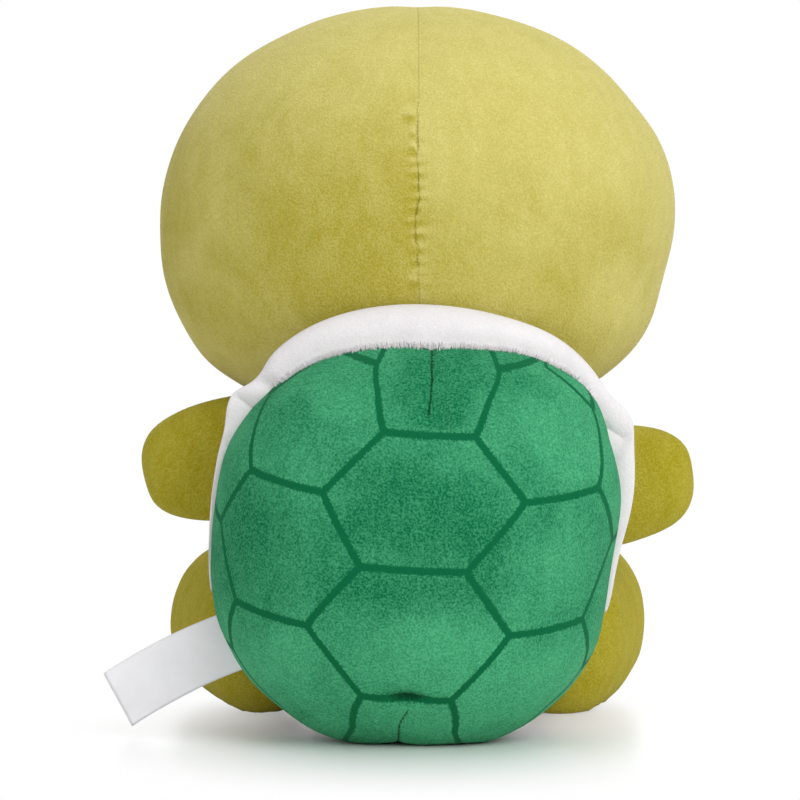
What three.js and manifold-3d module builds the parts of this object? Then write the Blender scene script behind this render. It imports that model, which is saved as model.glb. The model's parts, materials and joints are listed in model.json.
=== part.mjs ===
// Plush turtle, sitting. Sewn fabric panels round fibre fill, with limbs that swing on their seams.
// Millimetres. +Z is up, +Y is the way the turtle faces, +X is its right. The origin lies under its seat.
import * as THREE from "three";
import { mergeVertices } from "three/addons/utils/BufferGeometryUtils.js";
import Module from "manifold-3d";

const wasm = await Module();
wasm.setup();

// Fabric and clearances
const FABRIC = 2.2; // backing and pile of the plush
const SEWN_GAP = 0.4; // between two pieces that are sewn to each other
const SEAM_GAP = 0.3; // between two panels along their seam
const FILL_GAP = 0.4; // between a panel and the fill behind it

// Head: widths are full sizes, rise and drop are measured from its widest level
const HEAD_WIDTH = 226;
const HEAD_DEPTH = 180;
const HEAD_RISE = 90;
const HEAD_DROP = 92;
const HEAD_FORWARD = 24; // its centre, ahead of the torso's
const HEAD_SINK = 24; // how far it sits down over the torso's top
const HEAD_NOD_DEG = 12;
const NECK_FORWARD = 16; // the line that the head nods on, ahead of the torso's middle
const FACE_SEAM_FORWARD = 6; // the seam of the face panel, ahead of the head's middle

// Face
const EYE_WIDTH = 14;
const EYE_HEIGHT = 19;
const EYE_SPACING = 92;
const EYE_BELOW = 16; // under the head's widest level
const MOUTH_WIDTH = 26;
const MOUTH_CURVE = 17; // radius of the smile
const MOUTH_LINE = 3;
const MOUTH_BELOW = 30;
const EMBROIDERY = 1; // thickness of the stitched patches

// Torso
const TORSO_WIDTH = 160;
const TORSO_DEPTH = 124;
const TORSO_HEIGHT = 151; // before the head sits down on it
const TORSO_SETTLE = 3; // how far its weight flattens the seat

// Shell cushion on the back
const SHELL_WIDTH = 170;
const SHELL_HEIGHT = 168;
const SHELL_DEPTH = 62; // from its seam to its crown
const SHELL_SINK = 7; // how far its seam lies ahead of the torso's back
const SHELL_TUCK = 7; // from its seam to the lining's middle
const SHELL_SAG = 9; // how far the crown hangs below the middle
const SHELL_SETTLE = 1.5;

// White roll round the shell's top and sides
const RIM_TOP_THICKNESS = 26;
const RIM_SIDE_THICKNESS = 15;
const RIM_LEAN = 13; // how far its top leans back against the head
const RIM_REACH_DEG = 108; // how far it runs down each side, from the top

// Arms
const ARM_LENGTH = 48;
const ARM_HEIGHT = 58;
const ARM_THICKNESS = 37;
const ARM_ROOT_HEIGHT = 44;
const ARM_ROOT_THICKNESS = 9;
const ARM_FORWARD = 2; // its seam, ahead of the torso's middle
const LEFT_ARM_BELOW = 31; // its seam's middle, under the torso's top
const RIGHT_ARM_BELOW = 42;
const ARM_DROOP_DEG = 22;
const ARM_AHEAD_DEG = 14;
const ARM_SWING_AHEAD_DEG = 35;
const ARM_SWING_BACK_DEG = 15;

// Legs
const LEG_LENGTH = 74;
const LEG_WIDTH = 64;
const LEG_HEIGHT = 72;
const LEG_ROOT_WIDTH = 48;
const LEG_ROOT_HEIGHT = 66;
const LEG_SEAT = 66; // its seam, to the side of the torso's middle
const LEG_SETTLE = 1.5;
const LEFT_LEG_TOE_OUT_DEG = 23;
const RIGHT_LEG_TOE_OUT_DEG = 18;
const LEG_SPLAY_OUT_DEG = 14;
const LEG_SPLAY_IN_DEG = 8;
const SOLE_DEPTH = 14; // how far the sole panel wraps back from the toe

// Label
const LABEL_WIDTH = 25;
const LABEL_LENGTH = 52;
const LABEL_THICKNESS = 1;
const LABEL_BOW = 3; // how far the ribbon bends along its length
const LABEL_REACH_DEG = 119; // its place on the shell's seam, from the top
const LABEL_DIP_DEG = 27;

// Shape of each form: 1 is pointed, 2 is an ellipse, and more is squarer
const HEAD_FULLNESS = { level: 2, above: 2, below: 2.45 };
const TORSO_FULLNESS = { level: 2.8, above: 2.7, below: 2.6 };
const SHELL_FULLNESS = { level: 2.4, above: 2.2, below: 2 };

// Facets of each form: round its middle, and from pole to pole
const HEAD_STEPS = [28, 16];
const TORSO_STEPS = [24, 12];
const SHELL_STEPS = [28, 14];
const RIM_STEPS = [8, 28];
const LIMB_STEPS = [16, 10];
const OUTSIDE = 1; // share of those facets on the outside of a cover
const INSIDE = 0.6; // share of them on its inside and on the fill

const DEG = Math.PI / 180;
const FAR = 1000; // reach of a cutting block

// Plush, ribbon and thread
const cloth = (color, roughness = 0.95) => new THREE.MeshStandardMaterial({ color, roughness, metalness: 0 });
const olivePlush = cloth(0xb9ae4b);
const greenPlush = cloth(0x2f9a68);
const whitePlush = cloth(0xf0eeed);
const fibreFill = cloth(0xf3f2ea, 1);
const blackThread = cloth(0x221e1c, 0.6);
const ribbon = cloth(0xe9e5e8, 0.7);

// Booleans

// A closed geometry as a solid
function solidOf(geometry) {
  const bare = geometry.clone().deleteAttribute("normal").deleteAttribute("uv");
  const merged = mergeVertices(bare, 1e-4);
  const vertProperties = merged.getAttribute("position").array;
  return new wasm.Manifold(new wasm.Mesh({ numProp: 3, vertProperties, triVerts: new Uint32Array(merged.index.array) }));
}

function geometryOf(solid) {
  const { vertProperties, triVerts } = solid.getMesh();
  const geometry = new THREE.BufferGeometry();
  geometry.setAttribute("position", new THREE.BufferAttribute(vertProperties, 3));
  geometry.setIndex(new THREE.BufferAttribute(triVerts, 1));
  return geometry;
}

// A block between two corners, for cutting
function block(low, high) {
  const size = new THREE.Vector3().subVectors(high, low);
  const middle = new THREE.Vector3().addVectors(low, high).multiplyScalar(0.5);
  return solidOf(new THREE.BoxGeometry(size.x, size.y, size.z).translate(middle.x, middle.y, middle.z));
}

const aboveFloor = (height) => block(new THREE.Vector3(-FAR, -FAR, height), new THREE.Vector3(FAR, FAR, FAR));

// The part of a solid on the far side of a plane, kept half a seam away from it
function beyond(solid, point, normal) {
  const toPlane = new THREE.Quaternion().setFromUnitVectors(new THREE.Vector3(0, 0, 1), normal);
  const slab = new THREE.BoxGeometry(2 * FAR, 2 * FAR, FAR).translate(0, 0, FAR / 2 + SEAM_GAP / 2);
  slab.applyQuaternion(toPlane).translate(point.x, point.y, point.z);
  return solid.intersect(solidOf(slab));
}

// A turn about a line through a point
function turnAbout(point, axis, degrees) {
  return new THREE.Matrix4()
    .makeTranslation(point.x, point.y, point.z)
    .multiply(new THREE.Matrix4().makeRotationAxis(axis, degrees * DEG))
    .multiply(new THREE.Matrix4().makeTranslation(-point.x, -point.y, -point.z));
}

// Forms

// Moves each point of a sphere whose poles lie on Z, and gives the new form
function mapSphere([around, along], share, place) {
  const even = (count) => 2 * Math.round((count * share) / 2);
  const geometry = new THREE.SphereGeometry(1, even(around), even(along)).rotateX(Math.PI / 2);
  const points = geometry.getAttribute("position");
  const point = new THREE.Vector3();
  for (let i = 0; i < points.count; i += 1) {
    place(point.fromBufferAttribute(points, i));
    points.setXYZ(i, point.x, point.y, point.z);
  }
  return geometry;
}

// A stuffed form about its own middle: squarer or rounder by its fullness, and grown all over by some amount
function stuffed({ width, depth, rise, drop, fullness }, steps, grow, share) {
  return mapSphere(steps, share, (p) => {
    const up = p.z >= 0;
    const power = up ? fullness.above : fullness.below;
    const height = (up ? rise : drop) + grow;
    const side = Math.abs(p.x) / (width / 2 + grow);
    const front = Math.abs(p.y) / (depth / 2 + grow);
    const level = (side ** fullness.level + front ** fullness.level) ** (1 / fullness.level);
    p.multiplyScalar((level ** power + (Math.abs(p.z) / height) ** power) ** (-1 / power));
  });
}

// A stuffed limb along Z, from a flat sewn root at the origin to a round tip. X is its thickness, Y its height
function limb({ length, thickness, height, rootThickness, rootHeight }, grow, share) {
  const widest = length - thickness / 2;
  return mapSphere(LIMB_STEPS, share, (p) => {
    const round = Math.hypot(p.x, p.y);
    const across = round > 1e-6 ? p.x / round : 0;
    const upright = round > 1e-6 ? p.y / round : 0;
    const toRoot = THREE.MathUtils.smoothstep(-p.z, 0, 1);
    const swell = p.z >= 0 ? round : 1;
    const halfThickness = THREE.MathUtils.lerp(thickness, rootThickness, toRoot) / 2 + grow;
    const halfHeight = THREE.MathUtils.lerp(height, rootHeight, toRoot) / 2 + grow;
    const tip = p.z >= 0 ? p.z * (length - widest + grow) : p.z * widest;
    p.set(across * swell * halfThickness, upright * swell * halfHeight, widest + tip);
  });
}

// Head

const headMiddle = new THREE.Vector3(0, HEAD_FORWARD, TORSO_HEIGHT - HEAD_SINK + HEAD_DROP);
const neck = new THREE.Vector3(0, NECK_FORWARD, TORSO_HEIGHT - HEAD_SINK);
const nodAxis = new THREE.Vector3(-1, 0, 0);

function headForm(grow, share) {
  const size = { width: HEAD_WIDTH, depth: HEAD_DEPTH, rise: HEAD_RISE, drop: HEAD_DROP, fullness: HEAD_FULLNESS };
  return stuffed(size, HEAD_STEPS, grow, share).translate(headMiddle.x, headMiddle.y, headMiddle.z);
}

// All the room that the head takes, upright and nodded
function headRoom(grow) {
  const nodded = headForm(grow, OUTSIDE).applyMatrix4(turnAbout(neck, nodAxis, HEAD_NOD_DEG));
  return solidOf(headForm(grow, OUTSIDE)).add(solidOf(nodded));
}

// Torso

const torsoMiddle = TORSO_HEIGHT / 2;

function torsoForm(grow, share) {
  const size = {
    width: TORSO_WIDTH,
    depth: TORSO_DEPTH,
    rise: TORSO_HEIGHT - torsoMiddle,
    drop: torsoMiddle + TORSO_SETTLE,
    fullness: TORSO_FULLNESS,
  };
  return stuffed(size, TORSO_STEPS, grow, share).translate(0, 0, torsoMiddle);
}

// The torso's surface to the side of its middle plane, at a level
function torsoSide(forward, level) {
  const up = level >= torsoMiddle;
  const power = up ? TORSO_FULLNESS.above : TORSO_FULLNESS.below;
  const height = up ? TORSO_HEIGHT - torsoMiddle : torsoMiddle + TORSO_SETTLE;
  const ring = (1 - (Math.abs(level - torsoMiddle) / height) ** power) ** (1 / power);
  const front = Math.abs(forward) / (TORSO_DEPTH / 2);
  return (TORSO_WIDTH / 2) * (ring ** TORSO_FULLNESS.level - front ** TORSO_FULLNESS.level) ** (1 / TORSO_FULLNESS.level);
}

// The torso's surface ahead of its middle, at a place to the side and a level
function torsoFront(side, level) {
  const power = TORSO_FULLNESS.below;
  const ring = (1 - (Math.abs(level - torsoMiddle) / (torsoMiddle + TORSO_SETTLE)) ** power) ** (1 / power);
  const share = side / (TORSO_WIDTH / 2);
  return (TORSO_DEPTH / 2) * (ring ** TORSO_FULLNESS.level - share ** TORSO_FULLNESS.level) ** (1 / TORSO_FULLNESS.level);
}

function torsoSolid(grow, share) {
  return solidOf(torsoForm(grow, share))
    .subtract(headRoom(SEWN_GAP - grow))
    .subtract(solidOf(shellForm(SEWN_GAP - grow, OUTSIDE)))
    .intersect(aboveFloor(-grow));
}

// Shell

const shellMiddle = new THREE.Vector3(0, SHELL_SINK - TORSO_DEPTH / 2, SHELL_HEIGHT / 2 - SHELL_SETTLE);

// The cushion's seam is an upright outline, its crown stands out behind and sags
function shellForm(grow, share) {
  const size = {
    width: SHELL_WIDTH,
    depth: SHELL_HEIGHT,
    rise: SHELL_DEPTH,
    drop: SHELL_TUCK,
    fullness: SHELL_FULLNESS,
  };
  const form = stuffed(size, SHELL_STEPS, grow, share);
  const points = form.getAttribute("position");
  for (let i = 0; i < points.count; i += 1) {
    const out = Math.max(0, points.getZ(i)) / SHELL_DEPTH;
    points.setY(i, points.getY(i) - SHELL_SAG * out * out);
  }
  return form.rotateX(Math.PI / 2).translate(shellMiddle.x, shellMiddle.y, shellMiddle.z);
}

function shellSolid(grow, share) {
  return solidOf(shellForm(grow, share))
    .subtract(solidOf(headForm(SEWN_GAP - grow, OUTSIDE)))
    .intersect(aboveFloor(-grow));
}

// A point of the shell's seam, by its angle from the top, towards +X
function shellSeam(degrees, outset) {
  const across = Math.sin(degrees * DEG);
  const up = Math.cos(degrees * DEG);
  const power = SHELL_FULLNESS.level;
  const side = Math.abs(across) / (SHELL_WIDTH / 2 + outset);
  const rise = Math.abs(up) / (SHELL_HEIGHT / 2 + outset);
  const reach = (side ** power + rise ** power) ** (-1 / power);
  return new THREE.Vector3(across * reach, 0, up * reach).add(shellMiddle);
}

// The roll is thickest at the top and fades out down both sides
function rimForm(grow, share) {
  return mapSphere(RIM_STEPS, share, (p) => {
    const share = Math.acos(THREE.MathUtils.clamp(p.z, -1, 1)) / Math.PI;
    const degrees = RIM_REACH_DEG * (1 - 2 * share);
    const crown = Math.max(0, Math.cos(degrees * DEG)) ** 2;
    const ends = Math.sin(Math.PI * share) ** 0.4;
    const radius = (THREE.MathUtils.lerp(RIM_SIDE_THICKNESS, RIM_TOP_THICKNESS, crown) / 2) * ends + grow;
    const round = Math.hypot(p.x, p.y);
    const outward = round > 1e-6 ? (p.x / round) * radius : 0;
    const back = round > 1e-6 ? (p.y / round) * radius : 0;
    const middle = shellSeam(degrees, outward);
    p.set(middle.x, middle.y - RIM_LEAN * crown - back, middle.z);
  });
}

function rimSolid() {
  return solidOf(rimForm(0, OUTSIDE))
    .subtract(solidOf(headForm(SEWN_GAP, OUTSIDE)))
    .subtract(solidOf(torsoForm(SEWN_GAP, OUTSIDE)))
    .subtract(solidOf(shellForm(SEWN_GAP, OUTSIDE)))
    .intersect(aboveFloor(0));
}

// Limbs

// What a hinged limb has to miss: the torso, shell and rim, turned back by each angle of its swing
function roomAround(hinge, axis, swings, grow) {
  let room = null;
  for (const swing of swings) {
    const back = turnAbout(hinge, axis, -swing);
    for (const form of [torsoForm, shellForm, rimForm]) {
      const turned = solidOf(form(grow, OUTSIDE).applyMatrix4(back));
      room = room ? room.add(turned) : turned;
    }
  }
  return room;
}

// Where a limb's own frame stands: Z along the limb, Y as near upright as it can be
function limbFrame(root, direction) {
  const across = new THREE.Vector3().crossVectors(new THREE.Vector3(0, 0, 1), direction).normalize();
  const upright = new THREE.Vector3().crossVectors(direction, across);
  return new THREE.Matrix4().makeBasis(across, upright, direction).setPosition(root);
}

// An arm on its seam. Side is 1 for the right arm and -1 for the left
function armPlan(side, level) {
  const hinge = new THREE.Vector3(side * torsoSide(ARM_FORWARD, level), ARM_FORWARD, level);
  const dip = ARM_DROOP_DEG * DEG;
  const ahead = ARM_AHEAD_DEG * DEG;
  const reach = Math.cos(dip);
  const direction = new THREE.Vector3(side * reach * Math.cos(ahead), reach * Math.sin(ahead), -Math.sin(dip));
  const axis = new THREE.Vector3(0, 0, side);
  const frame = limbFrame(hinge, direction);
  const size = {
    length: ARM_LENGTH,
    thickness: ARM_THICKNESS,
    height: ARM_HEIGHT,
    rootThickness: ARM_ROOT_THICKNESS,
    rootHeight: ARM_ROOT_HEIGHT,
  };
  const swings = [-ARM_SWING_BACK_DEG, 0, ARM_SWING_AHEAD_DEG];
  const solid = (grow, share) =>
    solidOf(limb(size, grow, share).applyMatrix4(frame)).subtract(
      roomAround(hinge, axis, swings, SEWN_GAP - grow),
    );
  return { hinge, solid };
}

// A leg on its seam, resting on the floor
function legPlan(side, toeOut) {
  const level = LEG_HEIGHT / 2 - LEG_SETTLE;
  const hinge = new THREE.Vector3(side * LEG_SEAT, torsoFront(LEG_SEAT, level), level);
  const out = toeOut * DEG;
  const direction = new THREE.Vector3(side * Math.sin(out), Math.cos(out), 0);
  const axis = new THREE.Vector3(0, 0, -side);
  const frame = limbFrame(hinge, direction);
  const size = {
    length: LEG_LENGTH,
    thickness: LEG_WIDTH,
    height: LEG_HEIGHT,
    rootThickness: LEG_ROOT_WIDTH,
    rootHeight: LEG_ROOT_HEIGHT,
  };
  const swings = [-LEG_SPLAY_IN_DEG, 0, LEG_SPLAY_OUT_DEG];
  const solid = (grow, share) =>
    solidOf(limb(size, grow, share).applyMatrix4(frame))
      .subtract(roomAround(hinge, axis, swings, SEWN_GAP - grow))
      .intersect(aboveFloor(-grow));
  return { hinge, direction, solid };
}

// Label

// A ribbon bowed along its length, from its sewn edge on the shell's seam
function labelPlan() {
  const root = shellSeam(-LABEL_REACH_DEG, SEWN_GAP);
  const dip = LABEL_DIP_DEG * DEG;
  const bow = new THREE.Shape();
  bow.moveTo(0, 0);
  bow.quadraticCurveTo(LABEL_LENGTH / 2, LABEL_BOW, LABEL_LENGTH, 0);
  bow.lineTo(LABEL_LENGTH, LABEL_THICKNESS);
  bow.quadraticCurveTo(LABEL_LENGTH / 2, LABEL_BOW + LABEL_THICKNESS, 0, LABEL_THICKNESS);
  const geometry = new THREE.ExtrudeGeometry(bow, { depth: LABEL_WIDTH, bevelEnabled: false, curveSegments: 8 });
  geometry.translate(0, -LABEL_THICKNESS / 2, -LABEL_WIDTH / 2);
  const along = new THREE.Vector3(-Math.cos(dip), 0, -Math.sin(dip));
  const forward = new THREE.Vector3(0, 1, 0);
  const across = new THREE.Vector3().crossVectors(along, forward);
  geometry.applyMatrix4(new THREE.Matrix4().makeBasis(along, forward, across).setPosition(root));
  const solid = solidOf(geometry)
    .subtract(solidOf(shellForm(SEWN_GAP, OUTSIDE)))
    .subtract(solidOf(rimForm(SEWN_GAP, OUTSIDE)))
    .intersect(aboveFloor(SEWN_GAP));
  return { hinge: root, solid };
}

// Face

// The room ahead of the head's middle that lies behind an outline seen from the front
function behindOutline(outline) {
  const prism = new THREE.ExtrudeGeometry(outline, { depth: FAR, bevelEnabled: false, curveSegments: 10 });
  return solidOf(prism.rotateX(Math.PI / 2).translate(0, HEAD_FORWARD + FAR, 0));
}

// Sub-assemblies

const turtle = new THREE.Group();
turtle.name = "plush_turtle";

// A group that stands at a joint, or at the middle of what it holds
function groupAt(point) {
  const group = new THREE.Group();
  group.position.copy(point);
  turtle.add(group);
  return group;
}

function addPiece(group, name, solid, material) {
  const geometry = geometryOf(solid).translate(-group.position.x, -group.position.y, -group.position.z);
  geometry.computeVertexNormals();
  const mesh = new THREE.Mesh(geometry, material);
  mesh.name = name;
  group.add(mesh);
}

// Fabric cover and fill of a form that is given at any growth
const coverOf = (solidAt) => solidAt(0, OUTSIDE).subtract(solidAt(-FABRIC, INSIDE));
const fillOf = (solidAt) => solidAt(-FABRIC - FILL_GAP, INSIDE);

function addHead() {
  const group = groupAt(neck);
  const solidAt = (grow, share) => solidOf(headForm(grow, share));
  const cover = coverOf(solidAt);
  const faceSeam = headMiddle.clone().setY(HEAD_FORWARD + FACE_SEAM_FORWARD);
  const back = beyond(cover, faceSeam, new THREE.Vector3(0, -1, 0));
  addPiece(group, "head_back_left", beyond(back, headMiddle, new THREE.Vector3(-1, 0, 0)), olivePlush);
  addPiece(group, "head_back_right", beyond(back, headMiddle, new THREE.Vector3(1, 0, 0)), olivePlush);
  addPiece(group, "head_face", beyond(cover, faceSeam, new THREE.Vector3(0, 1, 0)), olivePlush);
  addPiece(group, "head_fill", fillOf(solidAt), fibreFill);
  const stitching = solidAt(SEWN_GAP + EMBROIDERY, OUTSIDE).subtract(solidAt(SEWN_GAP, OUTSIDE));
  const addPatch = (name, outline) => {
    addPiece(group, name, stitching.intersect(behindOutline(outline)), blackThread);
  };
  const eyeLevel = headMiddle.z - EYE_BELOW;
  for (const [name, side] of [["left_eye", -1], ["right_eye", 1]]) {
    const eye = new THREE.Shape();
    eye.absellipse((side * EYE_SPACING) / 2, eyeLevel, EYE_WIDTH / 2, EYE_HEIGHT / 2, 0, 2 * Math.PI);
    addPatch(name, eye);
  }
  const half = Math.asin(MOUTH_WIDTH / 2 / MOUTH_CURVE);
  const smile = new THREE.Shape();
  const smileMiddle = headMiddle.z - MOUTH_BELOW + MOUTH_CURVE;
  smile.absarc(0, smileMiddle, MOUTH_CURVE + MOUTH_LINE / 2, -Math.PI / 2 - half, -Math.PI / 2 + half);
  smile.absarc(0, smileMiddle, MOUTH_CURVE - MOUTH_LINE / 2, -Math.PI / 2 + half, -Math.PI / 2 - half, true);
  addPatch("mouth", smile);
}

function addTorso() {
  const group = groupAt(new THREE.Vector3(0, 0, 0));
  const cover = coverOf(torsoSolid);
  const sideSeam = new THREE.Vector3(0, ARM_FORWARD, 0);
  addPiece(group, "torso_front", beyond(cover, sideSeam, new THREE.Vector3(0, 1, 0)), whitePlush);
  addPiece(group, "torso_back", beyond(cover, sideSeam, new THREE.Vector3(0, -1, 0)), whitePlush);
  addPiece(group, "torso_fill", fillOf(torsoSolid), fibreFill);
}

function addShell() {
  const group = groupAt(shellMiddle);
  const cover = coverOf(shellSolid);
  addPiece(group, "shell_dome", beyond(cover, shellMiddle, new THREE.Vector3(0, -1, 0)), greenPlush);
  addPiece(group, "shell_lining", beyond(cover, shellMiddle, new THREE.Vector3(0, 1, 0)), whitePlush);
  addPiece(group, "shell_fill", fillOf(shellSolid), fibreFill);
  addPiece(group, "shell_rim", rimSolid(), whitePlush);
}

function addArm(name, side, level) {
  const { hinge, solid } = armPlan(side, level);
  const group = groupAt(hinge);
  const cover = coverOf(solid);
  const ahead = ARM_AHEAD_DEG * DEG;
  const facing = new THREE.Vector3(-side * Math.sin(ahead), Math.cos(ahead), 0);
  addPiece(group, `${name}_arm_front`, beyond(cover, hinge, facing), olivePlush);
  addPiece(group, `${name}_arm_back`, beyond(cover, hinge, facing.clone().negate()), olivePlush);
  addPiece(group, `${name}_arm_fill`, fillOf(solid), fibreFill);
}

function addLeg(name, side, toeOut) {
  const { hinge, direction, solid } = legPlan(side, toeOut);
  const group = groupAt(hinge);
  const cover = coverOf(solid);
  const soleSeam = hinge.clone().addScaledVector(direction, LEG_LENGTH - SOLE_DEPTH);
  addPiece(group, `${name}_leg_cover`, beyond(cover, soleSeam, direction.clone().negate()), olivePlush);
  addPiece(group, `${name}_leg_sole`, beyond(cover, soleSeam, direction), olivePlush);
  addPiece(group, `${name}_leg_fill`, fillOf(solid), fibreFill);
}

function addLabel() {
  const { hinge, solid } = labelPlan();
  addPiece(groupAt(hinge), "label", solid, ribbon);
}

addHead();
addTorso();
addShell();
addArm("left", -1, TORSO_HEIGHT - LEFT_ARM_BELOW);
addArm("right", 1, TORSO_HEIGHT - RIGHT_ARM_BELOW);
addLeg("left", -1, LEFT_LEG_TOE_OUT_DEG);
addLeg("right", 1, RIGHT_LEG_TOE_OUT_DEG);
addLabel();

export default turtle;
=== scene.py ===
"""Dresses a sitting plush turtle: plush over fibre, a printed shell, embroidery and a ribbon label.

Lengths here are millimetres. Meshes are made in metres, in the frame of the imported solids: +Z is up and
the turtle faces +Y.
"""

import json
import logging
import math
from collections.abc import Callable, Iterable
from dataclasses import dataclass, field, replace
from enum import Enum
from functools import partial

import bpy
import numpy as np
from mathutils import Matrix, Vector
from mathutils.bvhtree import BVHTree


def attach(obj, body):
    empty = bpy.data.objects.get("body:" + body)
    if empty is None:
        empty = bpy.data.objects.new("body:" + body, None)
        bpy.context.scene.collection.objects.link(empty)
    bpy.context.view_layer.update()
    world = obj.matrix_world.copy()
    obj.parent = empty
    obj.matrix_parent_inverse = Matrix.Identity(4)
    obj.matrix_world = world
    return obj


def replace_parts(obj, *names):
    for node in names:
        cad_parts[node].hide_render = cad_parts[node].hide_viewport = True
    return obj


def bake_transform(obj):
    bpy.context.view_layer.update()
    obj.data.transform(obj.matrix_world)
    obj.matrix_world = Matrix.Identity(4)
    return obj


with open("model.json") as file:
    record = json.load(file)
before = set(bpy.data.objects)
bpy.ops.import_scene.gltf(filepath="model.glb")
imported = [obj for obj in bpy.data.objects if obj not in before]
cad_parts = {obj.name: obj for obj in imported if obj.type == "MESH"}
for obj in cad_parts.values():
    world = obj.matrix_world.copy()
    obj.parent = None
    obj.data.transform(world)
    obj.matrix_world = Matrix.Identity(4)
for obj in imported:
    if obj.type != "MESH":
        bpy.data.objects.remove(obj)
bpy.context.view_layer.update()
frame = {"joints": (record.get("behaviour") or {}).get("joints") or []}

Array = np.ndarray
Amount = np.ndarray | float
Place = Callable[[Array], Array]
Test = Callable[[Array], Array]
Grid = tuple[Array, Iterable]
Marks = dict[str, Array]
Sockets = dict[int | str, object]
Rgb = tuple[int, int, int]
Xyz = tuple[float, float, float]
Span = tuple[float, float]
Row = tuple[float, float, float]  # a bell's middle, width and height, or a step's start, run and height
Rows = tuple[Row, ...]
Piece = bpy.types.Object
Material = bpy.types.Material
Node = bpy.types.Node
Socket = bpy.types.NodeSocket

log = logging.getLogger("turtle")

MM = 0.001
TINY = 1e-9  # keeps a division from failing
ON_PLANE = 1e-5  # how near to a middle plane a grid point counts as lying on it
ON_RING = 1e-3  # and how near to a ring of the grid
AT_ROOT = -0.9  # height on the grid's ball under which a limb is sewn down
FAR = 60.0  # away from every seam
EVERYWHERE = 1e6  # a width that takes in the whole toy
ON_FLOOR = 0.15  # the lowest that a cover lies
FABRIC = 1.8  # backing and pile of a panel
SEWN_GAP = 0.4  # between pieces that are sewn to each other
SEWN_IN = 2.5  # how deep a limb's root or the roll is sewn into what carries it
WHITE_LIGHT = (1.0, 1.0, 1.0, 1.0)


class Slot(Enum):
    """Material slots of the record."""

    OLIVE = "olive_plush"
    GREEN = "green_plush"
    WHITE = "white_plush"
    FIBRE = "fibre_fill"
    THREAD = "black_thread"
    RIBBON = "ribbon"


# Small maths

CELL_MIXERS = np.array((374761393, 668265263, 1274126177))  # odd numbers that scatter the places of cells
SEED_MIXER = 974634777
LAST_MIXER = 1103515245
WORD = 0xFFFFFFFF
HALF_WORD = 0xFFFF


def smooth(share: Amount) -> Array:
    """Eases from 0 to 1 with flat ends."""
    share = np.clip(share, 0.0, 1.0)
    return share * share * (3.0 - 2.0 * share)


def hill(distance: Array, width: Amount) -> Array:
    """A bell of height 1 that fades over a width."""
    return np.exp(-((distance / width) ** 2))


def bells(values: Array, *rows: Row) -> Array:
    """A sum of hills, each given by its middle, its width and its height."""
    return sum(height * hill(values - middle, width) for middle, width, height in rows)


def steps(values: Array, *rows: Row) -> Array:
    """A sum of eased steps, each given by its start, its run, which may go down, and its height."""
    return sum(height * smooth((values - start) / run) for start, run, height in rows)


def lumps(points: Array, size: float, seed: int) -> Array:
    """Smooth uneven heights, the same on every run.

    Args:
        points: Places, one row each.
        size: About how wide one lump is.
        seed: Picks another set of lumps.

    Returns:
        A height from -1 to 1 for each place.
    """
    scaled = points / size
    cell = np.floor(scaled).astype(np.int64)
    part = smooth(scaled - cell)
    total = np.zeros(len(points))
    for corner in np.ndindex(2, 2, 2):
        mixed = (cell + np.array(corner)) @ CELL_MIXERS + seed * SEED_MIXER
        mixed = ((mixed ^ (mixed >> 13)) * LAST_MIXER) & WORD
        mixed ^= mixed >> 16
        weight = np.prod(np.where(np.array(corner, bool), part, 1.0 - part), axis=1)
        total += weight * (2.0 * (mixed & HALF_WORD) / HALF_WORD - 1.0)
    return total


@dataclass(frozen=True)
class Lumpiness:
    """Soft unevenness: wide lumps, and small ones on them."""

    height: float
    size: float
    small_height: float
    small_size: float

    def heights(self, points: Array, seed: int) -> Array:
        """The lumps' heights at each place."""
        small = self.small_height * lumps(points, self.small_size, seed + 1)
        return self.height * lumps(points, self.size, seed) + small


@dataclass(frozen=True)
class Waver:
    """An uneven line: how far it strays, and about how long each stray is."""

    height: float
    size: float
    seed: int

    def along(self, places: Array) -> Array:
        """How far the line strays at each place along it."""
        return self.height * lumps(np.outer(places, (1.0, 0.0, 0.0)), self.size, self.seed)


@dataclass(frozen=True)
class Patch:
    """A soft-edged spot: its middle, how far it spreads each way, and its value."""

    across: float
    up: float
    wide: float
    high: float
    value: float

    def at(self, across: Array, up: Array) -> Array:
        """What the spot adds at each place."""
        return self.value * hill(across - self.across, self.wide) * hill(up - self.up, self.high)


def lengths(rows: Array) -> Array:
    """The length of each row, as a column."""
    return np.linalg.norm(rows, axis=1, keepdims=True)


def spin(x: Array, y: Array, degrees: float) -> tuple[Array, Array]:
    """Turns places by an angle, from their first axis towards their second."""
    turn = math.radians(degrees)
    return x * math.cos(turn) - y * math.sin(turn), x * math.sin(turn) + y * math.cos(turn)


# Meshes


def add_object(name: str, data: bpy.types.ID) -> Piece:
    """Puts a new object in the scene."""
    made = bpy.data.objects.new(name, data)
    bpy.context.scene.collection.objects.link(made)
    return made


def vertex_normals(points: Array, faces: Array) -> Array:
    """Works out the normals of a mesh.

    Args:
        points: The mesh's points.
        faces: Its quads.

    Returns:
        A unit normal for each point.
    """
    a, b, c, d = (points[faces[:, i]] for i in range(4))
    turned = np.cross(c - a, d - b)
    total = np.zeros_like(points)
    for axis in range(3):
        spread = np.repeat(turned[:, axis], 4)
        total[:, axis] = np.bincount(faces.ravel(), spread, len(points))
    return total / np.maximum(lengths(total), TINY)


def grid_quads(rows: int, columns: int) -> Array:
    """Quads between the points of a flat grid that is numbered row by row."""
    index = np.arange(rows * columns).reshape(rows, columns)
    corners = (index[:-1, :-1], index[1:, :-1], index[1:, 1:], index[:-1, 1:])
    return np.stack(corners, axis=-1).reshape(-1, 4)


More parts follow.
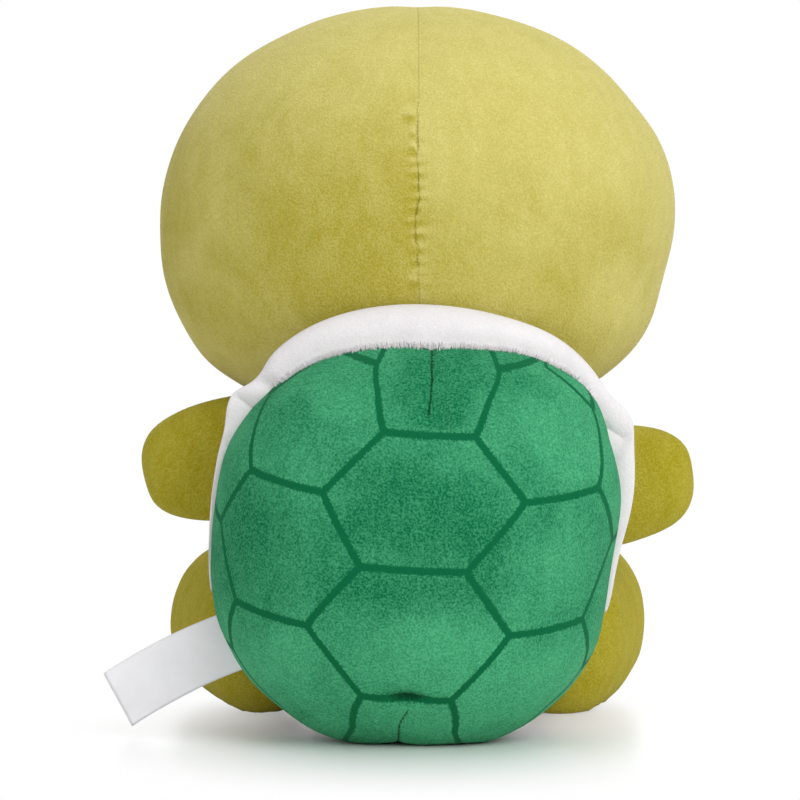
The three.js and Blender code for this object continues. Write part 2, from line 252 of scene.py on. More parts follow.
def ball_grid(cells: int, crowd: Xyz = (0.0, 0.0, 0.0)) -> tuple[Array, Array]:
    """Quads over a unit ball, like a swollen cube, with lines on its three middle planes.

    Args:
        cells: Quads along each edge of the cube, an even number.
        crowd: How much the lines crowd towards the middle plane of each axis, from 0 to 1.

    Returns:
        Points on the ball, and faces of four points each.
    """
    count = cells + 1
    line = np.linspace(-1.0, 1.0, count)
    spaced = [np.tan((line * (1.0 - c) + c * line**3) * math.pi / 4.0) for c in crowd]
    quads = grid_quads(count, count)
    points, faces = [], []
    for axis in range(3):
        first, second = [i for i in range(3) if i != axis]
        for side in (-1.0, 1.0):
            patch = np.zeros((count, count, 3))
            patch[..., axis] = side
            patch[..., first], patch[..., second] = np.meshgrid(spaced[first], spaced[second], indexing="ij")
            flip = (side < 0) != (axis == 1)
            faces.append((quads[:, ::-1] if flip else quads) + len(points) * count**2)
            points.append(patch.reshape(-1, 3))
    every = np.concatenate(points)
    _, kept, renamed = np.unique(np.round(every, 6), axis=0, return_index=True, return_inverse=True)
    ball = every[kept]
    return ball / lengths(ball), renamed.ravel()[np.concatenate(faces)]


def turned_grid(around: int, along: int) -> tuple[Array, list[list[int]]]:
    """Rings of quads round a unit ball whose poles lie on Z, closed by triangles.

    Args:
        around: Points on each ring, a multiple of four.
        along: Steps from pole to pole.

    Returns:
        Points on the ball, and faces as lists of point numbers.
    """
    tilt = np.linspace(0.0, math.pi, along + 1)[1:-1]
    turn = np.arange(around) * 2.0 * math.pi / around
    ring = np.stack([np.cos(turn), np.sin(turn)], axis=1)
    rows = [np.column_stack([ring * math.sin(t), np.full(around, math.cos(t))]) for t in tilt]
    points = np.concatenate([*rows, [[0.0, 0.0, 1.0], [0.0, 0.0, -1.0]]])
    top, bottom = len(points) - 2, len(points) - 1
    last = (along - 2) * around
    faces = []
    for k in range(around):
        after = (k + 1) % around
        faces.append([top, k, after])
        faces.append([bottom, last + after, last + k])
        for row in range(along - 2):
            low, high = row * around, (row + 1) * around
            faces.append([low + k, high + k, high + after, low + after])
    points[np.abs(points) < ON_PLANE] = 0.0
    return points, faces


def plain_mesh(name: str, points: Array, faces: Iterable) -> Piece:
    """Puts a smooth mesh in the scene.

    Args:
        name: Of the mesh and its object.
        points: In millimetres.
        faces: Point numbers of each face.

    Returns:
        The object.
    """
    mesh = bpy.data.meshes.new(name)
    mesh.from_pydata((points * MM).tolist(), [], [list(map(int, f)) for f in faces], shade_flat=False)
    mesh.update()
    return add_object(name, mesh)


def read_points(mesh: bpy.types.Mesh) -> Array:
    """A mesh's points, in millimetres."""
    flat = np.zeros(len(mesh.vertices) * 3)
    mesh.vertices.foreach_get("co", flat)
    return flat.reshape(-1, 3) / MM


def discard(piece: Piece) -> None:
    """Removes a working object and its mesh."""
    mesh = piece.data
    bpy.data.objects.remove(piece)
    bpy.data.meshes.remove(mesh)


def refine(points: Array, faces: Iterable, levels: int) -> tuple[Array, Array]:
    """Makes a mesh finer by smooth subdivision.

    Args:
        points: Of the coarse mesh.
        faces: Of the coarse mesh.
        levels: How often its faces are divided.

    Returns:
        Points and quads of the finer mesh.
    """
    piece = plain_mesh("refining", points, faces)
    modifier = piece.modifiers.new("Smooth", "SUBSURF")
    modifier.levels = levels
    shown = piece.evaluated_get(bpy.context.evaluated_depsgraph_get())
    mesh = shown.to_mesh()
    finer = read_points(mesh)
    corners = np.zeros(len(mesh.loops), np.int32)
    mesh.loops.foreach_get("vertex_index", corners)
    shown.to_mesh_clear()
    discard(piece)
    return finer, corners.reshape(-1, 4)


def refine_ball(grid: Grid, levels: int) -> tuple[Array, Array]:
    """A finer grid on the unit ball, from a coarse one."""
    unit, quads = refine(*grid, levels)
    return unit / lengths(unit), quads


def thicken(points: Array, faces: Array, thickness: float) -> tuple[Array, Array, Array]:
    """Gives an open panel its fabric thickness, inwards, with its cut edge closed.

    Args:
        points: The panel's outer points.
        faces: Its quads.
        thickness: Of the fabric.

    Returns:
        Points and quads of the closed panel, and the outer point that each point came from.
    """
    count = len(points)
    inner = points - vertex_normals(points, faces) * thickness
    edges = np.concatenate([faces[:, [i, (i + 1) % 4]] for i in range(4)])
    _, where, uses = np.unique(np.sort(edges, axis=1), axis=0, return_inverse=True, return_counts=True)
    start, end = edges[uses[where.ravel()] == 1].T
    wall = np.stack([end, start, start + count, end + count], axis=1)
    every = np.concatenate([faces, faces[:, ::-1] + count, wall])
    return np.concatenate([points, inner]), every, np.tile(np.arange(count), 2)


def run_along(path: Array) -> Array:
    """The length along a path up to each of its points."""
    return np.concatenate([[0.0], np.cumsum(np.linalg.norm(np.diff(path, axis=0), axis=1))])


def settle(points: Array) -> Array:
    """Presses what lies below the floor flat on it."""
    return np.column_stack([points[:, :2], np.maximum(points[:, 2], ON_FLOOR)])


# Forms


@dataclass(frozen=True)
class Fullness:
    """Shape of a form: 1 is pointed, 2 is an ellipse, and more is squarer."""

    level: float
    above: float
    below: float


@dataclass(frozen=True)
class StuffedForm:
    """A stuffed form. Width and depth are full sizes, rise and drop go up and down from its middle."""

    middle: Xyz
    width: float
    depth: float
    rise: float
    drop: float
    fullness: Fullness
    halvings: int = 44  # steps of the search along a ray
    core: float = 1e-3  # value that its very middle counts as

    def level(self, points: Array, grow: float = 0.0) -> Array:
        """Tells how far out points lie, seen from above.

        Args:
            points: One row each.
            grow: How much larger the form is taken all round.

        Returns:
            1 on the form's widest outline, and less inside it.
        """
        power = self.fullness.level
        away = np.abs(points - np.array(self.middle))
        side = away[:, 0] / (self.width / 2.0 + grow)
        front = away[:, 1] / (self.depth / 2.0 + grow)
        return (side**power + front**power) ** (1.0 / power)

    def value(self, points: Array, grow: float = 0.0) -> Array:
        """Tells how far out points lie.

        Args:
            points: One row each.
            grow: How much larger the form is taken all round.

        Returns:
            Below 1 inside the form, 1 on it and more outside.
        """
        height = points[:, 2] - self.middle[2]
        power = np.where(height >= 0, self.fullness.above, self.fullness.below)
        share = np.abs(height) / (np.where(height >= 0, self.rise, self.drop) + grow)
        return (self.level(points, grow) ** power + share**power) ** (1.0 / power)

    def reach(self, origin: Array, unit: Array) -> Array:
        """Finds where rays leave the form.

        Args:
            origin: A place inside the form.
            unit: The way of each ray.

        Returns:
            A point on the form for each ray.
        """
        near = np.zeros(len(unit))
        far = np.full(len(unit), self.width + self.depth + self.rise + self.drop)
        for _ in range(self.halvings):
            half = (near + far) / 2.0
            inside = self.value(origin + half[:, None] * unit) < 1.0
            near = np.where(inside, half, near)
            far = np.where(inside, far, half)
        return origin + far[:, None] * unit

    def clear(self, points: Array, gap: float) -> Array:
        """Points with those inside the form moved out of it, on rays from its middle."""
        middle = np.array(self.middle)
        value = np.maximum(self.value(points, gap), self.core)
        return middle + (points - middle) * np.where(value < 1.0, 1.0 / value, 1.0)[:, None]


@dataclass(frozen=True)
class LimbSize:
    """Sizes of a limb, and of the root that it is sewn on by."""

    length: float
    thickness: float
    height: float
    root_thickness: float
    root_height: float


@dataclass(frozen=True)
class LimbForm:
    """A stuffed limb, from a flat root to a round tip. Its own X is thickness, Y height and Z length."""

    root: Array
    direction: Xyz
    size: LimbSize
    root_close: float  # share of the ball's radius over which the root rounds off to its middle

    def axes(self) -> Array:
        """The limb's own X, Y and Z as rows."""
        along = np.array(self.direction)
        across = np.cross((0.0, 0.0, 1.0), along)
        across /= np.linalg.norm(across)
        return np.stack([across, np.cross(along, across), along])

    def own(self, points: Array) -> Array:
        """Points in the limb's own frame."""
        return (points - self.root) @ self.axes().T

    def world(self, points: Array) -> Array:
        """Points of the limb's own frame, in the frame of the turtle."""
        return points @ self.axes() + self.root

    def closing(self, unit: Array) -> Array:
        """How wide the limb is at each point of the ball: round at its tip, and rounded off at its root."""
        spread = np.hypot(unit[:, 0], unit[:, 1])
        rounded = 1.0 - np.maximum(0.0, 1.0 - spread / self.root_close) ** 2
        return np.where(unit[:, 2] >= 0, spread, rounded)

    def place(self, unit: Array) -> Array:
        """Shapes the limb's surface.

        Args:
            unit: Points of a unit ball whose pole is the tip.

        Returns:
            A point of the surface for each.
        """
        size = self.size
        cap = size.thickness / 2.0
        widest = size.length - cap
        spread = np.hypot(unit[:, 0], unit[:, 1])
        way = unit[:, :2] / np.maximum(spread, TINY)[:, None]
        to_root = smooth(-unit[:, 2])
        thick = size.thickness + (size.root_thickness - size.thickness) * to_root
        high = size.height + (size.root_height - size.height) * to_root
        flat = way * self.closing(unit)[:, None] * np.stack([thick, high], axis=1) / 2.0
        along = widest + unit[:, 2] * np.where(unit[:, 2] >= 0, cap, widest)
        return self.world(np.column_stack([flat, along]))


# Sewn covers


@dataclass(frozen=True)
class Swelling:
    """How the stuffing presses a cover out, in the cloth simulation."""

    pressure: float = 4.0
    shrink: float = 3.0  # how much smaller the cover starts
    cap: float = 7.0  # the furthest that a point may move
    frames: int = 20
    quality: int = 6
    mass: float = 0.25
    stretch: float = 14.0
    shear: float = 6.0
    bending: float = 0.4

    def add_cloth(self, piece: Piece, held: Array) -> None:
        """Makes a mesh cloth under pressure.

        Args:
            piece: The mesh.
            held: Which of its points are sewn down.
        """
        group = piece.vertex_groups.new(name="held")
        group.add(np.flatnonzero(held).tolist(), 1.0, "REPLACE")
        cloth = piece.modifiers.new("Cloth", "CLOTH")
        cloth.collision_settings.use_collision = False
        settings = cloth.settings
        settings.quality = self.quality
        settings.mass = self.mass
        settings.tension_stiffness = self.stretch
        settings.compression_stiffness = self.stretch
        settings.shear_stiffness = self.shear
        settings.bending_stiffness = self.bending
        settings.vertex_group_mass = group.name
        settings.use_pressure = True
        settings.uniform_pressure_force = self.pressure
        settings.effector_weights.gravity = 0.0

    def moves(self, points: Array, faces: Iterable, held: Array) -> Array:
        """Simulates the cover as cloth, held along its seams.

        Args:
            points: The cover's points at its finished size.
            faces: Its faces.
            held: Which points are sewn down.

        Returns:
            How far each point ends from where it was given, with the free points level on the whole.
        """
        faces = [list(f) for f in faces]
        normals = vertex_normals(points, np.array([f if len(f) == 4 else [*f, f[-1]] for f in faces]))
        start = points - normals * self.shrink
        piece = plain_mesh("stuffing", start, faces)
        self.add_cloth(piece, held)
        scene = bpy.context.scene
        for step in range(1, self.frames + 1):
            scene.frame_set(step)
        shown = piece.evaluated_get(bpy.context.evaluated_depsgraph_get())
        moved = read_points(shown.to_mesh()) - start
        shown.to_mesh_clear()
        scene.frame_set(1)
        discard(piece)
        far = lengths(moved)
        moved *= np.minimum(1.0, self.cap / np.maximum(far, TINY))
        swelled = (moved * normals).sum(axis=1)
        return moved - normals * swelled[~held].mean()


@dataclass(frozen=True)
class Seam:
    """How a seam is drawn in: a sharp crease, a wider pull, and a line of painted shade along it."""

    depth: Amount
    width: float
    pull: Amount
    reach: float
    line: Amount = 0.4  # how dark the painted shade along it is, from 0 to 1

    def over(self, share: Array) -> "Seam":
        """The seam where only a share of it shows."""
        return replace(self, depth=self.depth * share, pull=self.pull * share, line=self.line * share)


@dataclass
class Cover:
    """A whole sewn cover before it is cut into panels."""

    points: Array
    faces: Array
    unit: Array
    marks: Marks = field(init=False)

    def __post_init__(self) -> None:
        """Starts with no seam near, no painted shade along one, and no stroke or painted light in its pile.
        """
        count = len(self.points)
        # Marks: how dark the painted shade along a seam is, how far each point lies from that seam, and the
        # pile's lie together with painted light and shade.
        self.marks = {"seam": np.zeros(count), "seam_away": np.full(count, FAR), "nap_and_painted_light": np.zeros(count)}

    def lift(self, heights: Array) -> None:
        """Moves each point out along its normal."""
        self.points = self.points + vertex_normals(self.points, self.faces) * heights[:, None]

    def brush(self, nap_and_painted_light: Array) -> None:
        """Strokes the pile paler, or deeper below 0, and carries painted light and shade the same way."""
        self.marks["nap_and_painted_light"] = self.marks["nap_and_painted_light"] + nap_and_painted_light

    def paint_shade(self, where: Array, away: Array, line: Amount) -> None:
        """Marks painted shade in places, by their distance from a line."""
        self.marks["seam_away"] = np.where(where, away, self.marks["seam_away"])
        self.marks["seam"] = np.where(where, line, self.marks["seam"])

    def draw_in(self, away: Array, seam: Seam) -> None:
        """Draws the fabric in by a seam's crease and pull, by each point's distance from it."""
        distance = np.abs(away)
        self.lift(-seam.depth * np.exp(-distance / seam.width) - seam.pull * hill(distance, seam.reach))

    def crease(self, away: Array, seam: Seam) -> None:
        """Draws a seam in, and paints shade along its line where no other seam is nearer."""
        self.draw_in(away, seam)
        self.paint_shade(np.abs(away) < np.abs(self.marks["seam_away"]), away, seam.line)

    def panel(self, inside: Test) -> tuple[Array, Array, Array]:
        """Cuts out the faces whose middles pass a test of the grid's directions.

        Args:
            inside: The test, on the directions of the faces' middles.

        Returns:
            The panel's points and quads, and the cover's point that each came from.
        """
        kept = self.faces[inside(self.unit[self.faces].mean(axis=1))]
        used, renamed = np.unique(kept, return_inverse=True)
        return self.points[used], renamed.reshape(-1, 4), used


def sew(grid: Grid, place: Place, held: Test, how: Swelling, levels: int = 2) -> Cover:
    """Makes a cover: its coarse grid is swelled as cloth, and the finer grid follows it.

    Args:
        grid: Points of a unit ball, and faces.
        place: Gives the form's surface for points of the ball.
        held: Which points of the ball lie on seams.
        how: The stuffing's pressure.
        levels: How often the grid is made finer.

    Returns:
        The cover at its finished size.
    """
    ball, faces = grid
    unit, fine_faces = refine_ball(grid, levels)
    unit[np.abs(unit) < ON_PLANE] = 0.0
    points = place(unit)
    coarse = place(ball)
    moves = how.moves(coarse, faces, held(ball))
    swelled, _ = refine(coarse + moves, faces, levels)
    level, _ = refine(coarse, faces, levels)
    points = points + swelled - level
    return Cover(points, fine_faces, unit)


# Finishes


def linear(colour: Rgb) -> tuple[float, float, float, float]:
    """A screen colour of 0 to 255 as Blender's linear light, by the sRGB curve."""
    shares = [c / 255.0 for c in colour]
    light = [s / 12.92 if s <= 0.04045 else ((s + 0.055) / 1.055) ** 2.4 for s in shares]
    return light[0], light[1], light[2], 1.0


class Graph:
    """Short words for the nodes of one material, or of the world."""

    def __init__(self, owner: Material | bpy.types.World) -> None:
        """Starts with the shader and the output that Blender gives a new material or world."""
        owner.use_nodes = True
        self.owner = owner
        self.tree = owner.node_tree

    def first(self, kind: str) -> Node:
        """The first node of a kind."""
        return next(n for n in self.tree.nodes if n.type == kind)

    def feed(self, socket: Socket, value: object) -> None:
        """Links a socket, or sets a plain value on one."""
        if isinstance(value, Socket):
            self.tree.links.new(value, socket)
        else:
            socket.default_value = value

    def node(self, kind: str, **settings: object) -> Node:
        """A node of a kind, with its settings."""
        made = self.tree.nodes.new(kind)
        for name, value in settings.items():
            setattr(made, name, value)
        return made

    def fill(self, node: Node, sockets: Sockets) -> Node:
        """Feeds a node's sockets, by their names or their numbers."""
        for key, value in sockets.items():
            self.feed(node.inputs[key], value)
        return node

    def math(self, operation: str, *values: object, clamp: bool = False) -> Socket:
        """The result of one sum."""
        made = self.node("ShaderNodeMath", operation=operation, use_clamp=clamp)
        return self.fill(made, dict(enumerate(values))).outputs[0]

    def weigh(self, *parts: tuple[object, float]) -> Socket:
        """Adds values, each with its weight."""
        total = self.math("MULTIPLY", *parts[0])
        for value, weight in parts[1:]:
            total = self.math("MULTIPLY_ADD", value, weight, total)
        return total

    def about_zero(self, value: Socket) -> Socket:
        """Moves values of 0 to 1 to lie about 0."""
        return self.math("SUBTRACT", value, 0.5)

    def ramp(self, value: object, low: float, high: float, start: float = 0.0, end: float = 1.0) -> Socket:
        """Eases from start to end as a value goes from low to high."""
        made = self.node("ShaderNodeMapRange", interpolation_type="SMOOTHSTEP")
        ends = {"From Min": low, "From Max": high, "To Min": start, "To Max": end}
        return self.fill(made, {"Value": value, **ends}).outputs[0]

    def place(self, stretch: Xyz = (1.0, 1.0, 1.0)) -> Socket:
        """Places on the piece, in millimetres, drawn out along its axes."""
        scaled = self.node("ShaderNodeVectorMath", operation="MULTIPLY")
        spot = self.node("ShaderNodeTexCoord").outputs["Object"]
        return self.fill(scaled, {0: spot, 1: [1.0 / MM / s for s in stretch]}).outputs[0]

    def noise(self, where: Socket, size: float, detail: float = 2.0, twist: float = 0.0) -> Socket:
        """Cloudy values with features of about a size."""
        made = self.node("ShaderNodeTexNoise")
        kind = {"Scale": 1.0 / size, "Detail": detail, "Roughness": 0.55, "Distortion": twist}
        return self.fill(made, {"Vector": where, **kind}).outputs[0]

    def mix(self, share: object, first: object, second: object, how: str = "MIX") -> Socket:
        """Mixes two colours."""
        made = self.node("ShaderNodeMix", data_type="RGBA", blend_type=how)
        return self.fill(made, {0: share, 6: first, 7: second}).outputs[2]

    def mark(self, name: str) -> Socket:
        """A value that each point of the mesh carries."""
        return self.node("ShaderNodeAttribute", attribute_name=name).outputs["Fac"]

    def bump(self, height: Socket, distance: float, strength: float) -> None:
        """Raises the surface by a height, which at 1 stands a distance tall."""
        made = self.node("ShaderNodeBump")
        self.fill(made, {"Height": height, "Distance": distance * MM, "Strength": strength})
        self.fill(self.first("BSDF_PRINCIPLED"), {"Normal": made.outputs[0]})

    def seen(self) -> Socket:
        """1 for what the camera sees, straight, in a mirror or through glass, and 0 for other light."""
        path = self.node("ShaderNodeLightPath")
        ways = ("Camera", "Glossy", "Transmission")
        camera, glossy, through = (path.outputs[f"Is {way} Ray"] for way in ways)
        return self.math("MAXIMUM", self.math("MAXIMUM", camera, glossy), through)

    def show(self, share: Socket, usual: Node, other: Node, output: str) -> None:
        """Sends one shader to the output, and a share of another over it."""
        mixed = self.node("ShaderNodeMixShader")
        self.fill(mixed, {0: share, 1: usual.outputs[0], 2: other.outputs[0]})
        self.fill(self.first(output), {0: mixed.outputs[0]})

    def finish(self, colour: Socket, rough: float, shine: float, sheen: float = 0.0) -> Material:
        """Gives the material, with its colour, roughness, mirror light and sheen."""
        look = {"Base Color": colour, "Roughness": rough, "Specular IOR Level": shine, "Sheen Weight": sheen}
        self.fill(self.first("BSDF_PRINCIPLED"), look)
        return self.owner


@dataclass(frozen=True)
class Scutes:
    """A printed honeycomb of flat-topped cells, as thin dark lines."""

    colour: Rgb = (4, 100, 60)
    line: float = 3.1
    cell_width: float = 37.3  # from a cell's middle to a slanted side, over half the root of three
    cell_height: float = 30.2  # likewise to its flat side
    soft: float = 0.45
    rough: float = 0.5  # how far the pile's grain moves the print's edge
    ink: float = 0.3  # share of the ink that the grain lets through

    def cover(self, graph: Graph, grain: Socket) -> Socket:
        """How much of the print lies at each place.

        Args:
            graph: The material's nodes.
            grain: Cloudy values that roughen the print's edge.

        Returns:
            1 on a line and 0 beside it.
        """
        flat = math.sqrt(3.0) / 2.0
        column = 1.5  # between columns, in a cell's half widths
        across = graph.math("PINGPONG", graph.mark("scute_u"), column)
        up = graph.math("PINGPONG", graph.mark("scute_v"), flat)
        beside = (graph.math("SUBTRACT", column, across), graph.math("SUBTRACT", flat, up))
        insides = []
        for wide, high in ((across, up), beside):
            to_flat = graph.math("MULTIPLY", graph.math("SUBTRACT", flat, high), self.cell_height)
            lean = graph.weigh((wide, flat), (high, 0.5))
            to_slant = graph.math("MULTIPLY", graph.math("SUBTRACT", flat, lean), self.cell_width)
            insides.append(graph.math("MINIMUM", to_flat, to_slant))
        nearest = graph.math("MAXIMUM", *insides)
        edge = graph.math("MULTIPLY_ADD", graph.about_zero(grain), self.rough, nearest)
        half = self.line / 2.0
        return graph.ramp(edge, half - self.soft, half + self.soft, 1.0, 0.0)


@dataclass(frozen=True)
class Finish:
    """A material that is made once, for one slot of the record."""

    name: str
    slot: Slot

    def material(self) -> Material:
        """Makes the finish, or gives it if it is made."""
        made = bpy.data.materials.get(self.name)
        return made or self.dress(Graph(bpy.data.materials.new(self.name)))

    def dress(self, graph: Graph) -> Material:
        """Sets up the finish.

        Args:
            graph: The new material's nodes.

        Returns:
            The material.
        """
        raise NotImplementedError


@dataclass(frozen=True)
class Plush(Finish):
    """Short soft pile: patches where it is stroked, streaks, the grain of the fibres, and the painted light
    and shade that its cover carries.
    """

    deep: Rgb
    pale: Rgb
    patch: float = 34.0
    mottle: float = 0.55  # how much of its shade comes in uneven patches
    contrast: float = 0.5
    speckle: float = 0.3
    sheen: float = 0.35
    sheen_colour: Rgb = (255, 255, 255)
    relief: float = 0.6
    seam: Xyz = (0.3, 0.32, 0.3)  # light that is left along a drawn-in seam
    scutes: Scutes | None = None
    nap_and_light_weight: float = 0.17  # how much of its tone the pile's lie and the painted light and shade give
    lie: Span = (0.25, 0.75)  # from deep to pale
    streak: float = 7.0
    streak_length: float = 2.6  # over its width
    streak_share: float = 0.65  # of the contrast
    tuft: float = 2.4
    tuft_share: float = 0.3  # of the speckle
    fibre: float = 0.85
    fibre_range: Span = (0.28, 0.72)
    seam_width: Span = (0.3, 0.95)  # where the painted shade along a seam starts to fade, and is gone
    seam_rough: float = 0.4

    def dress(self, graph: Graph) -> Material:
        """Sets up the pile, its painted light and shade, and its print if it has one.

        Args:
            graph: The new material's nodes.

        Returns:
            The material.
        """
        where = graph.place()
        patches = graph.noise(where, self.patch, detail=3.0, twist=0.7)
        # The cover's mark holds the pile's lie together with painted light and shade.
        brushed_and_lit = graph.weigh((graph.mark("nap_and_painted_light"), self.nap_and_light_weight), (patches, self.mottle))
        stroked_and_lit = graph.ramp(graph.math("ADD", brushed_and_lit, 0.5 - self.mottle / 2.0), *self.lie)
        streaks = graph.noise(graph.place((1.0, 1.0, self.streak_length)), self.streak, twist=0.4)
        tufts = graph.noise(where, self.tuft, detail=1.0)
        grain = graph.ramp(graph.noise(where, self.fibre), *self.fibre_range)
        shades = graph.weigh(
            (graph.about_zero(stroked_and_lit), self.contrast),
            (graph.about_zero(streaks), self.contrast * self.streak_share),
            (graph.about_zero(tufts), self.speckle * self.tuft_share),
            (graph.about_zero(grain), self.speckle),
        )
        tone = graph.math("ADD", shades, 0.5, clamp=True)
        colour = graph.mix(tone, linear(self.deep), linear(self.pale))
        if self.scutes:
            ink = linear(self.scutes.colour)
            worn = graph.mix(self.scutes.ink, ink, graph.mix(grain, ink, linear(self.deep)))
            colour = graph.mix(self.scutes.cover(graph, grain), colour, worn)
        # Painted shade along seams and in folds, by each point's distance from the line.
        away = graph.math("ABSOLUTE", graph.mark("seam_away"))
        apart = graph.math("MULTIPLY_ADD", grain, self.seam_rough, away)
        sunk = graph.math("MULTIPLY", graph.ramp(apart, *self.seam_width, 1.0, 0.0), graph.mark("seam"))
        colour = graph.mix(sunk, colour, graph.mix(1.0, colour, (*self.seam, 1.0), "MULTIPLY"))
        graph.bump(graph.weigh((grain, 0.6), (tufts, 0.5)), distance=0.6, strength=self.relief)
        tint = {"Sheen Roughness": 0.42, "Sheen Tint": linear(self.sheen_colour)}
        graph.fill(graph.first("BSDF_PRINCIPLED"), tint)
        return graph.finish(colour, rough=0.95, shine=0.12, sheen=self.sheen)


@dataclass(frozen=True)
class Fibre(Finish):
    """Loose white polyester fibre."""

    deep: Rgb = (214, 212, 204)
    pale: Rgb = (250, 249, 245)

    def dress(self, graph: Graph) -> Material:
        """Sets up clouds of tangled strands.

        Args:
            graph: The new material's nodes.

        Returns:
            The material.
        """
        strands = graph.noise(graph.place((1.0, 5.0, 1.0)), 1.6, detail=4.0, twist=2.5)
        clouds = graph.noise(graph.place(), 14.0, detail=3.0)
        tone = graph.weigh((strands, 0.6), (clouds, 0.4))
        graph.bump(strands, distance=1.2, strength=0.7)
        colour = graph.mix(tone, linear(self.deep), linear(self.pale))
        return graph.finish(colour, rough=1.0, shine=0.1, sheen=0.2)


@dataclass(frozen=True)
class Thread(Finish):
    """Glossy embroidery thread."""

    deep: Rgb = (20, 17, 16)
    pale: Rgb = (58, 52, 50)

    def dress(self, graph: Graph) -> Material:
        """Sets up fine strands side by side.

        Args:
            graph: The new material's nodes.

        Returns:
            The material.
        """
        strands = graph.noise(graph.place((6.0, 1.0, 1.0)), 0.35)
        graph.bump(strands, distance=0.15, strength=0.5)
        colour = graph.mix(strands, linear(self.deep), linear(self.pale))
        return graph.finish(colour, rough=0.42, shine=0.5, sheen=0.1)


@dataclass(frozen=True)
class Satin(Finish):
    """White woven ribbon with a firmer woven edge."""

    deep: Rgb = (232, 228, 233)
    pale: Rgb = (250, 248, 251)
    edge: Rgb = (205, 200, 206)
    edge_share: float = 0.35
    pitch: float = 0.45  # of its warp
    weft_share: float = 0.7  # how much wider its weft lies

    def dress(self, graph: Graph) -> Material:
        """Sets up the weave.

        Args:
            graph: The new material's nodes.

        Returns:
            The material.
        """
        turn = 2.0 * math.pi / self.pitch
        warp = graph.math("SINE", graph.math("MULTIPLY", graph.mark("ribbon_across"), turn))
        weft = graph.math("SINE", graph.math("MULTIPLY", graph.mark("ribbon_along"), turn * self.weft_share))
        weave = graph.math("MULTIPLY_ADD", graph.math("MULTIPLY", warp, weft), 0.5, 0.5)
        soil = graph.noise(graph.place(), 9.0, detail=3.0)
        colour = graph.mix(graph.weigh((weave, 0.35), (soil, 0.65)), linear(self.deep), linear(self.pale))
        edge = graph.math("MULTIPLY", graph.mark("ribbon_edge"), self.edge_share)
        colour = graph.mix(edge, colour, linear(self.edge))
        graph.bump(weave, distance=0.08, strength=0.5)
        return graph.finish(colour, rough=0.55, shine=0.4, sheen=0.15)


@dataclass(frozen=True)
class StudioFloor:
    """Pale smooth table that shows a soft shadow and a faint mirror of what stands on it."""

    name: str = "studio table"
    deep: Rgb = (246, 246, 246)
    pale: Rgb = (250, 250, 250)
    middle: float = -55.0  # how far ahead of the frame's origin the shadow's middle lies
    fade_start: float = 50.0  # from here out it fades to the white of the background
    fade_end: float = 165.0

    def material(self) -> Material:
        """Makes the finish.

        Returns:
            The material.
        """
        graph = Graph(bpy.data.materials.new(self.name))
        where = graph.place()
        dust = graph.noise(where, 60.0)
        away = graph.node("ShaderNodeVectorMath", operation="DISTANCE")
        graph.fill(away, {0: where, 1: (0.0, self.middle, 0.0)})
        fade = graph.ramp(away.outputs["Value"], self.fade_start, self.fade_end)
        shader, glow = graph.first("BSDF_PRINCIPLED"), graph.node("ShaderNodeEmission")
        graph.show(graph.math("MULTIPLY", fade, graph.seen()), shader, glow, "OUTPUT_MATERIAL")
        colour = graph.mix(dust, linear(self.deep), linear(self.pale))
        return graph.finish(colour, rough=0.35, shine=0.25)


OLIVE = Plush(
    "olive plush",
    Slot.OLIVE,
    deep=(160, 148, 12),
    pale=(212, 202, 124),
    patch=40.0,
    contrast=0.52,
    sheen=0.18,
    sheen_colour=(255, 250, 232),
    seam=(0.4, 0.37, 0.22),
)
# The same olive plush drawn darker and deeper for the arms and legs: painted shade.
SHADED_OLIVE = replace(
    OLIVE,
    name="olive plush with painted shade",
    deep=(152, 140, 0),
    pale=(208, 198, 96),
    contrast=0.55,
    sheen=0.2,
    sheen_colour=(255, 246, 140),
)
GREEN = Plush(
    "printed green plush",
    Slot.GREEN,
    deep=(0, 104, 64),
    pale=(78, 174, 124),
    contrast=0.55,
    speckle=0.58,
    sheen=0.05,
    sheen_colour=(214, 255, 232),
    scutes=Scutes(),
)
WHITE = Plush(
    "white plush",
    Slot.WHITE,
    deep=(216, 212, 214),
    pale=(238, 235, 236),
    patch=26.0,
    speckle=0.25,
    sheen=0.15,
    relief=0.3,
    seam=(0.62, 0.6, 0.6),
)
FIBRE = Fibre("loose fibre", Slot.FIBRE)
THREAD = Thread("embroidery thread", Slot.THREAD)
SATIN = Satin("satin ribbon", Slot.RIBBON)


# Pieces


def add_piece(name: str, points: Array, faces: Iterable, finish: Finish, marks: Marks | None = None) -> Piece:
    """A finished mesh in the scene.

    Args:
        name: The piece's name.
        points: In millimetres.
        faces: Point numbers of each face.
        finish: One of the finishes.
        marks: Values that each point carries, by name.

    Returns:
        The piece, which rides on nothing yet.
    """
    piece = plain_mesh(name, points, faces)
    for mark, values in (marks or {}).items():
        layer = piece.data.attributes.new(mark, "FLOAT", "POINT")
        layer.data.foreach_set("value", values.astype(np.float32))
    piece.data.materials.append(finish.material())
    return piece


def add_cloth(name: str, panel: Grid, thickness: float, finish: Finish, marks: Marks) -> Piece:
    """An open panel with its thickness, whose points keep their marks."""
    points, faces, outer = thicken(*panel, thickness)
    return add_piece(name, points, faces, finish, {k: v[outer] for k, v in marks.items()})


def add_panel(name: str, cover: Cover, inside: Test, finish: Plush, marks: Marks | None = None) -> Piece:
    """One panel of a cover, cut out by a test of the grid's directions."""
    points, faces, source = cover.panel(inside)
    carried = {k: v[source] for k, v in {**cover.marks, **(marks or {})}.items()}
    return add_cloth(name, (points, faces), FABRIC, finish, carried)


FILL_LUMPS = Lumpiness(height=1.1, size=17.0, small_height=0.6, small_size=7.0)
FILL_INSET = 1.0
FILL_GRID = ball_grid(cells=14)


